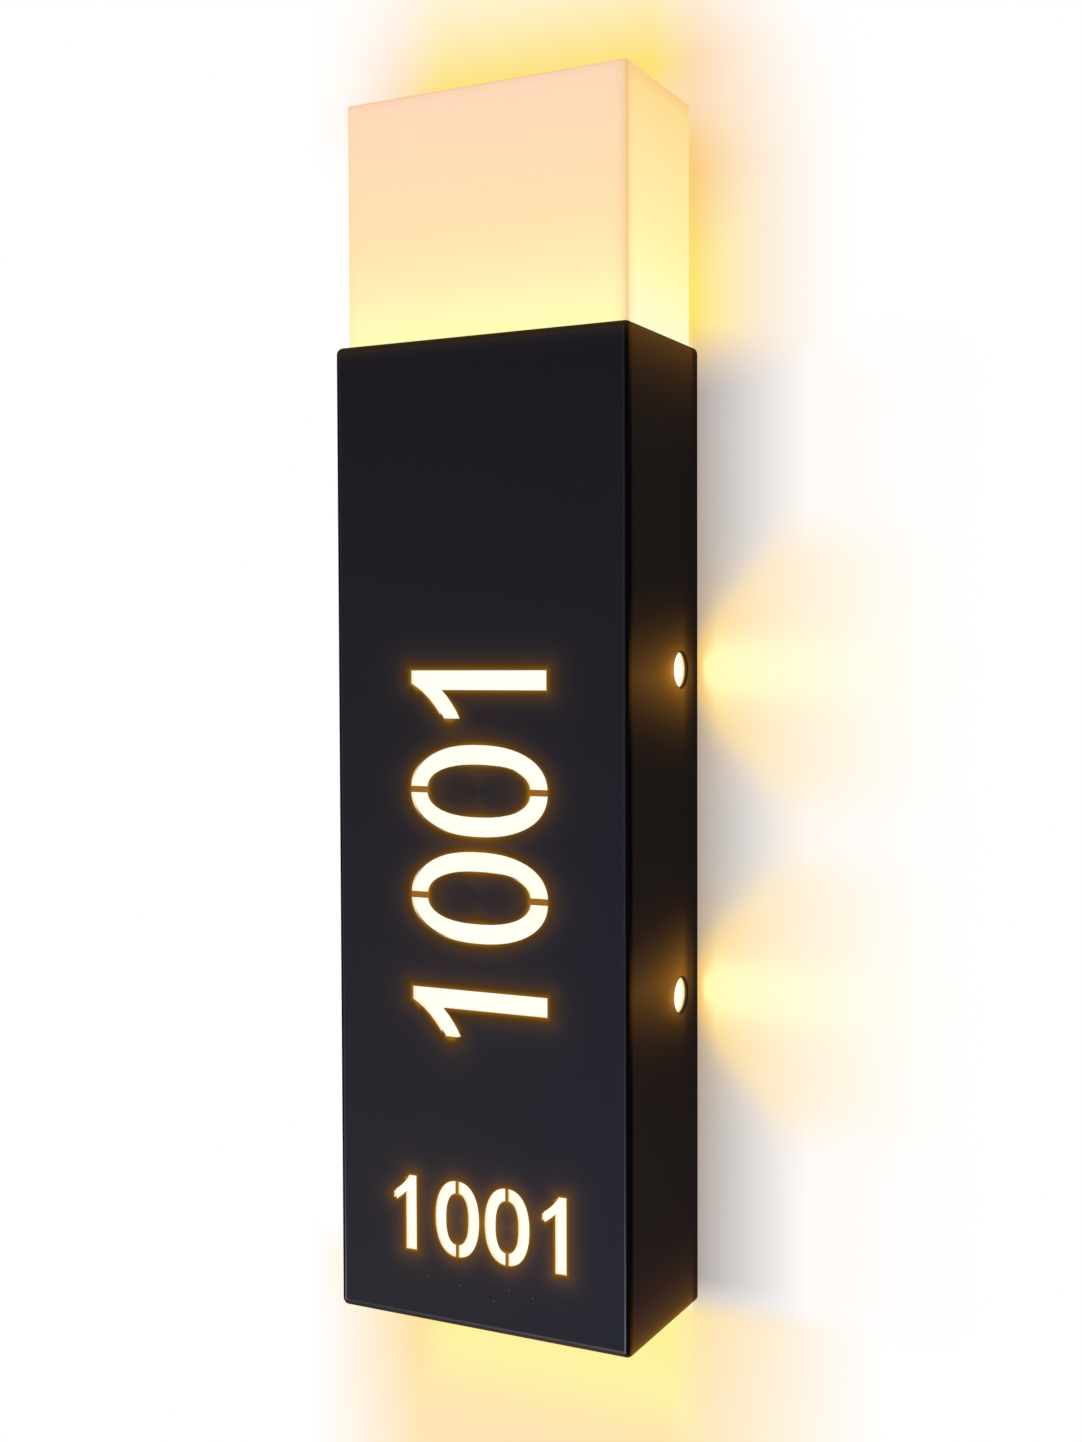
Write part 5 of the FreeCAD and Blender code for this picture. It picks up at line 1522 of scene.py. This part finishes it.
@dataclass(frozen=True)
class WallPaint:
    """The pale wall as the camera sees it, with the lamp's light and the cover's shade painted on it.

    Attributes:
        half: Half width of the light's body, in millimetres.
        rise: Half height of the cover.
        top: Height of the opal box.
        hole_rise: Height of the upper side hole, and depth of the lower one.
        crown_reach: How far the yellow above the box rises.
        foot_reach: How far down the yellow under the cover takes to fade.
        dim: Level of the painted shade on the wall close beside the cover, where 1 is white.
        dim_slope: What the level gains with each millimetre away from the cover.
        crown_tint: Tint of the yellow above the box.
        crown_side_tint: Tint of the same towards its sides.
        flank_tint: Tint of the light beside the box.
        flank_end_tint: Tint of the same towards its ends and farther out.
        foot_tint: Tint of the yellow under the cover.
        foot_end_tint: Tint of the same towards its sides and farther down.
    """

    half: float = 50.0
    rise: float = 150.0
    top: float = 225.0
    hole_rise: float = 50.0
    crown_reach: float = 92.0
    foot_reach: float = 230.0
    dim: float = 0.450
    dim_slope: float = 0.0155
    crown_tint: Colour = (0.985, 0.73, 0.02)
    crown_side_tint: Colour = (0.985, 0.52, 0.02)
    flank_tint: Colour = (0.985, 0.75, 0.02)
    flank_end_tint: Colour = (0.96, 0.53, 0.05)
    foot_tint: Colour = (0.99, 0.86, 0.12)
    foot_end_tint: Colour = (0.985, 0.65, 0.12)

    def above(self, pen: Pen, paint: Signal) -> Signal:
        """Adds the painted yellow light above the opal box and beside it.

        Args:
            pen: The pen of the material.
            paint: The wall's colour so far.

        Returns:
            The colour with that light.
        """
        x, _, z = pen.place()
        over = 1.0 - ((z - self.top) / self.crown_reach).clamped()
        aside = ((abs(x + 4.0) - 38.0) / 54.0).clamped()
        crown = over ** 1.6 * (1.0 - aside) ** 1.7 * 1.12 * z.between(self.top - 8, self.top + 16)
        tint = pen.mix(self.crown_tint, self.crown_side_tint, aside.between(0.0, 0.4))
        paint = self.washed(pen, paint, tint, crown.clamped())
        near = 1.0 - ((x - 47.5) / 55.0).most((-47.5 - x) / 36.0).clamped()
        ends = z.between(self.top + 42, self.top - 24) * z.between(self.rise - 18, self.rise + 7)
        flank = near ** 1.6 * 0.86 * ends
        end = z.between(168.0, 210.0).most(z.between(160.0, 144.0)).most(x.between(56.0, 76.0))
        tint = pen.mix(self.flank_tint, self.flank_end_tint, end)
        return self.washed(pen, paint, tint, flank * (1.0 - crown.clamped()))

    def below(self, pen: Pen, paint: Signal) -> Signal:
        """Adds the painted yellow light under the cover.

        Args:
            pen: The pen of the material.
            paint: The wall's colour so far.

        Returns:
            The colour with that light.
        """
        x, _, z = pen.place()
        aside = ((x - 39.0) / 70.0).most((-53.0 - x) / 43.0).clamped()
        down = 1.0 - ((-z - self.rise) / self.foot_reach).clamped()
        share = (1.0 - aside) * down * 0.82 * z.between(6 - self.rise, -6 - self.rise)
        end = abs(x).between(38.0, 58.0).most(z.between(-178.0, -204.0))
        return self.washed(pen, paint, pen.mix(self.foot_tint, self.foot_end_tint, end), share)

    def fan(self, pen: Pen, height: float) -> tuple[Signal, Signal]:
        """Light from one side hole.

        Args:
            pen: The pen of the wall's material.
            height: Height of the hole.

        Returns:
            The share of the light over its whole spread, and over its yellow core.
        """
        x, _, z = pen.place()
        out, off = (x - self.half).most(0.0), abs(z - height)
        spread = out.least(28.0) + 10.0 + out.least(6.0) * 0.7
        whole = 1.0 / (1.0 + (off / spread) ** (3.0 + out.least(18.0) * 0.35))
        core = 1.0 / (1.0 + (off / (1.0 + out.least(6.0) * 1.5)) ** 4.0)
        return whole * (0.87 + 0.13 * out.between(0.0, 2.0)), core * out.between(0.3, 2.8)

    def colour(self, pen: Pen) -> Signal:
        """The wall's colour, with painted shade beside the cover and painted light from the lamp.

        Args:
            pen: The pen of the wall's material.

        Returns:
            The colour, where 1 is white.
        """
        x, _, z = pen.place()
        out = (x - self.half).most(0.0)
        beside = x.between(self.half - 3, self.half - 1)
        along = z.between(self.rise + 8, self.rise - 16) * z.between(-self.rise - 7, -self.rise + 9)
        # Painted shade beside the cover, lifted by each side hole's painted light.
        level = 1.0 - (1.0 - (self.dim + out * self.dim_slope).least(1.0)) * along * beside
        (upper, upper_core), (lower, lower_core) = (self.fan(pen, sign * self.hole_rise) for sign in (1, -1))
        fans, core = (upper + lower).clamped(), upper_core.most(lower_core)
        edge = fans ** (0.45 + out.least(60.0) * 0.02)
        pale = (1.0 - edge) * along * (0.035 + out.fading(6.0) * 0.08)
        green = core * 0.025 + (1.0 - core) * (edge * out.fading(30.0) * 0.38 + pale)
        blue = core * out.fading(50.0) * 0.58 + (1.0 - core) * (edge * out.fading(36.0) * 0.84 + pale * 1.5)
        red = level + (1.0 - level) * fans
        reach = beside * out.between(95.0, 40.0)
        paint = pen.joined(red, red * (1.0 - reach * green), red * (1.0 - reach * blue))
        return self.below(pen, self.above(pen, paint))

    @staticmethod
    def washed(pen: Pen, under: Signal, tint: Signal, share: Signal) -> Signal:
        """A colour multiplied by a tint, in part."""
        inputs = {0: share, 6: under, 7: tint}
        return pen.node("ShaderNodeMix", {"data_type": "RGBA", "blend_type": "MULTIPLY"}, inputs, 2)


@dataclass
class Studio:
    """Camera, wall, floor, world and lamps.

    Attributes:
        eye: Where the camera stands, in metres.
        right: The camera's right.
        up: The camera's up.
        sensor: Width of the sensor, in millimetres.
        lens: Focal length for that sensor along the picture's longer side.
        wall_middle: Middle of the wall, a little behind the light's back.
        wall_size: Width and height of the wall.
        floor_drop: Height of the floor.
        floor_size: Width and depth of the floor.
        world_level: Strength of the world's light on the object.
        lamps: Name, place, width, power and colour of each lamp.
    """

    eye: Colour = (0.25155, -0.50754, 0.05218)
    right: Colour = (0.89244, 0.45116, -0.00347)
    up: Colour = (-0.01194, 0.03131, 0.99944)
    sensor: float = 36.0
    lens: float = 43.395
    wall_middle: Colour = (0.0, 0.0004, 1.2)
    wall_size: tuple[float, float] = (8.0, 3.9)
    floor_drop: float = -0.75
    floor_size: tuple[float, float] = (8.0, 8.0)
    world_level: float = 0.45
    lamps: tuple = (
        ("key", (-0.55, -1.35, 0.25), 0.9, 9.0, (1.0, 0.985, 0.97)),
        ("low_fill", (-0.15, -1.1, -0.75), 0.8, 5.5, (0.93, 0.96, 1.0)),
        ("back_fill", (0.2, 1.3, 0.5), 1.0, 8.0, (1.0, 1.0, 1.0)),
    )

    def camera(self) -> None:
        """Puts the camera where the photograph was taken from."""
        made = bpy.data.objects.new("camera", bpy.data.cameras.new("camera"))
        bpy.context.scene.collection.objects.link(made)
        right = Vector(self.right).normalized()
        back = right.cross(Vector(self.up)).normalized()
        up = back.cross(right)
        turn = Matrix((right, up, back)).transposed().to_4x4()
        made.matrix_world = Matrix.Translation(self.eye) @ turn
        made.data.lens = self.lens
        made.data.sensor_width = self.sensor
        made.data.sensor_fit = "AUTO"
        made.data.clip_start = 0.01
        made.data.clip_end = 50.0
        bpy.context.scene.camera = made

    @staticmethod
    def seen(pen: Pen) -> Signal:
        """One for rays that see the background: camera, glossy and transmission.

        Args:
            pen: The pen of the material or world.

        Returns:
            The share.
        """
        kinds = [pen.node("ShaderNodeLightPath", output=name) for name in (
            "Is Camera Ray", "Is Glossy Ray", "Is Transmission Ray")]
        return kinds[0].most(kinds[1]).most(kinds[2])

    def world(self) -> None:
        """A white background that lights the object at a plain level."""
        made = bpy.data.worlds.new("studio")
        bpy.context.scene.world = made
        pen = Pen.on(made)
        strength = self.world_level + (1.0 - self.world_level) * self.seen(pen)
        sky = pen.node("ShaderNodeBackground", {}, {"Color": (1.0, 1.0, 1.0, 1.0), "Strength": strength})
        pen.node("ShaderNodeOutputWorld", {}, {"Surface": sky})

    @staticmethod
    def sheet(name: str, middle: Colour, size: tuple[float, float], tilt: float,
              look: bpy.types.Material) -> None:
        """One flat sheet of the stage.

        Args:
            name: Its name.
            middle: Its middle, in metres.
            size: Its width and its height or depth.
            tilt: Its turn about X, in degrees.
            look: Its material.
        """
        bpy.ops.object.select_all(action="DESELECT")
        turn = (math.radians(tilt), 0.0, 0.0)
        bpy.ops.mesh.primitive_plane_add(size=1.0, location=middle, rotation=turn)
        made = bpy.context.object
        made.scale = (*size, 1.0)
        bpy.ops.object.transform_apply(location=True, rotation=True, scale=True)
        made.name = name
        made.data.materials.append(look)

    @staticmethod
    def clear_behind(pen: Pen, shader: Signal, share: Signal) -> None:
        """Ends a tree with a shader that is clear where the share is nought.

        Args:
            pen: The pen of the material.
            shader: The shader that is seen.
            share: How much of it is seen.
        """
        clear = pen.node("ShaderNodeBsdfTransparent")
        both = pen.node("ShaderNodeMixShader", {}, {0: share, 1: clear, 2: shader})
        pen.node("ShaderNodeOutputMaterial", {}, {"Surface": both})

    def wall(self) -> None:
        """The wall right behind the light, clear from behind so that the back can be seen."""
        look = bpy.data.materials.new("wall_paint")
        pen = Pen.on(look)
        glow = pen.node("ShaderNodeEmission", {}, {"Color": WallPaint().colour(pen), "Strength": 1.0})
        behind = pen.node("ShaderNodeNewGeometry", output="Backfacing")
        self.clear_behind(pen, glow, self.seen(pen) * (1.0 - behind))
        self.sheet("wall", self.wall_middle, self.wall_size, 90.0, look)

    def floor(self) -> None:
        """The pale floor below, clear from below, which keeps the shadow."""
        look = bpy.data.materials.new("floor_paint")
        pen = Pen.on(look)
        paint = pen.node("ShaderNodeBsdfPrincipled", {}, {
            "Base Color": pen.mix((0.80, 0.80, 0.79), (0.84, 0.84, 0.83), pen.noise(6.0, 3.0)),
            "Roughness": 0.8, "Specular IOR Level": 0.1,
            "Emission Color": pen.times((1.0, 1.0, 1.0), self.seen(pen)),
            "Emission Strength": 0.45,
        })
        self.clear_behind(pen, paint, 1.0 - pen.node("ShaderNodeNewGeometry", output="Backfacing"))
        self.sheet("floor", (0.0, 0.0, self.floor_drop), self.floor_size, 0.0, look)

    def light(self) -> None:
        """Soft lamps in front and behind."""
        for name, spot, width, power, tint in self.lamps:
            made = bpy.data.objects.new(name, bpy.data.lights.new(name, "AREA"))
            made.data.shape = "SQUARE"
            made.data.size = width
            made.data.energy = power
            made.data.color = tint
            made.location = spot
            made.rotation_euler = Vector(spot).to_track_quat("Z", "Y").to_euler()
            bpy.context.scene.collection.objects.link(made)

    def build(self) -> None:
        """Sets up the whole studio."""
        self.camera()
        self.world()
        self.wall()
        self.floor()
        self.light()
        bpy.context.scene.view_settings.view_transform = "Standard"


def main() -> None:
    """Builds the studio and each part of the light in order."""
    logging.basicConfig(level=logging.INFO, format="%(name)s: %(message)s")
    Studio().build()
    for part in (Cover(), BoxOnTop(), Diffusers(), WallTray(), LightBoards(), Driver(), Mains(), Leads()):
        LOG.info("%s", type(part).__name__)
        part.build()


if __name__ == "__main__":
    main()
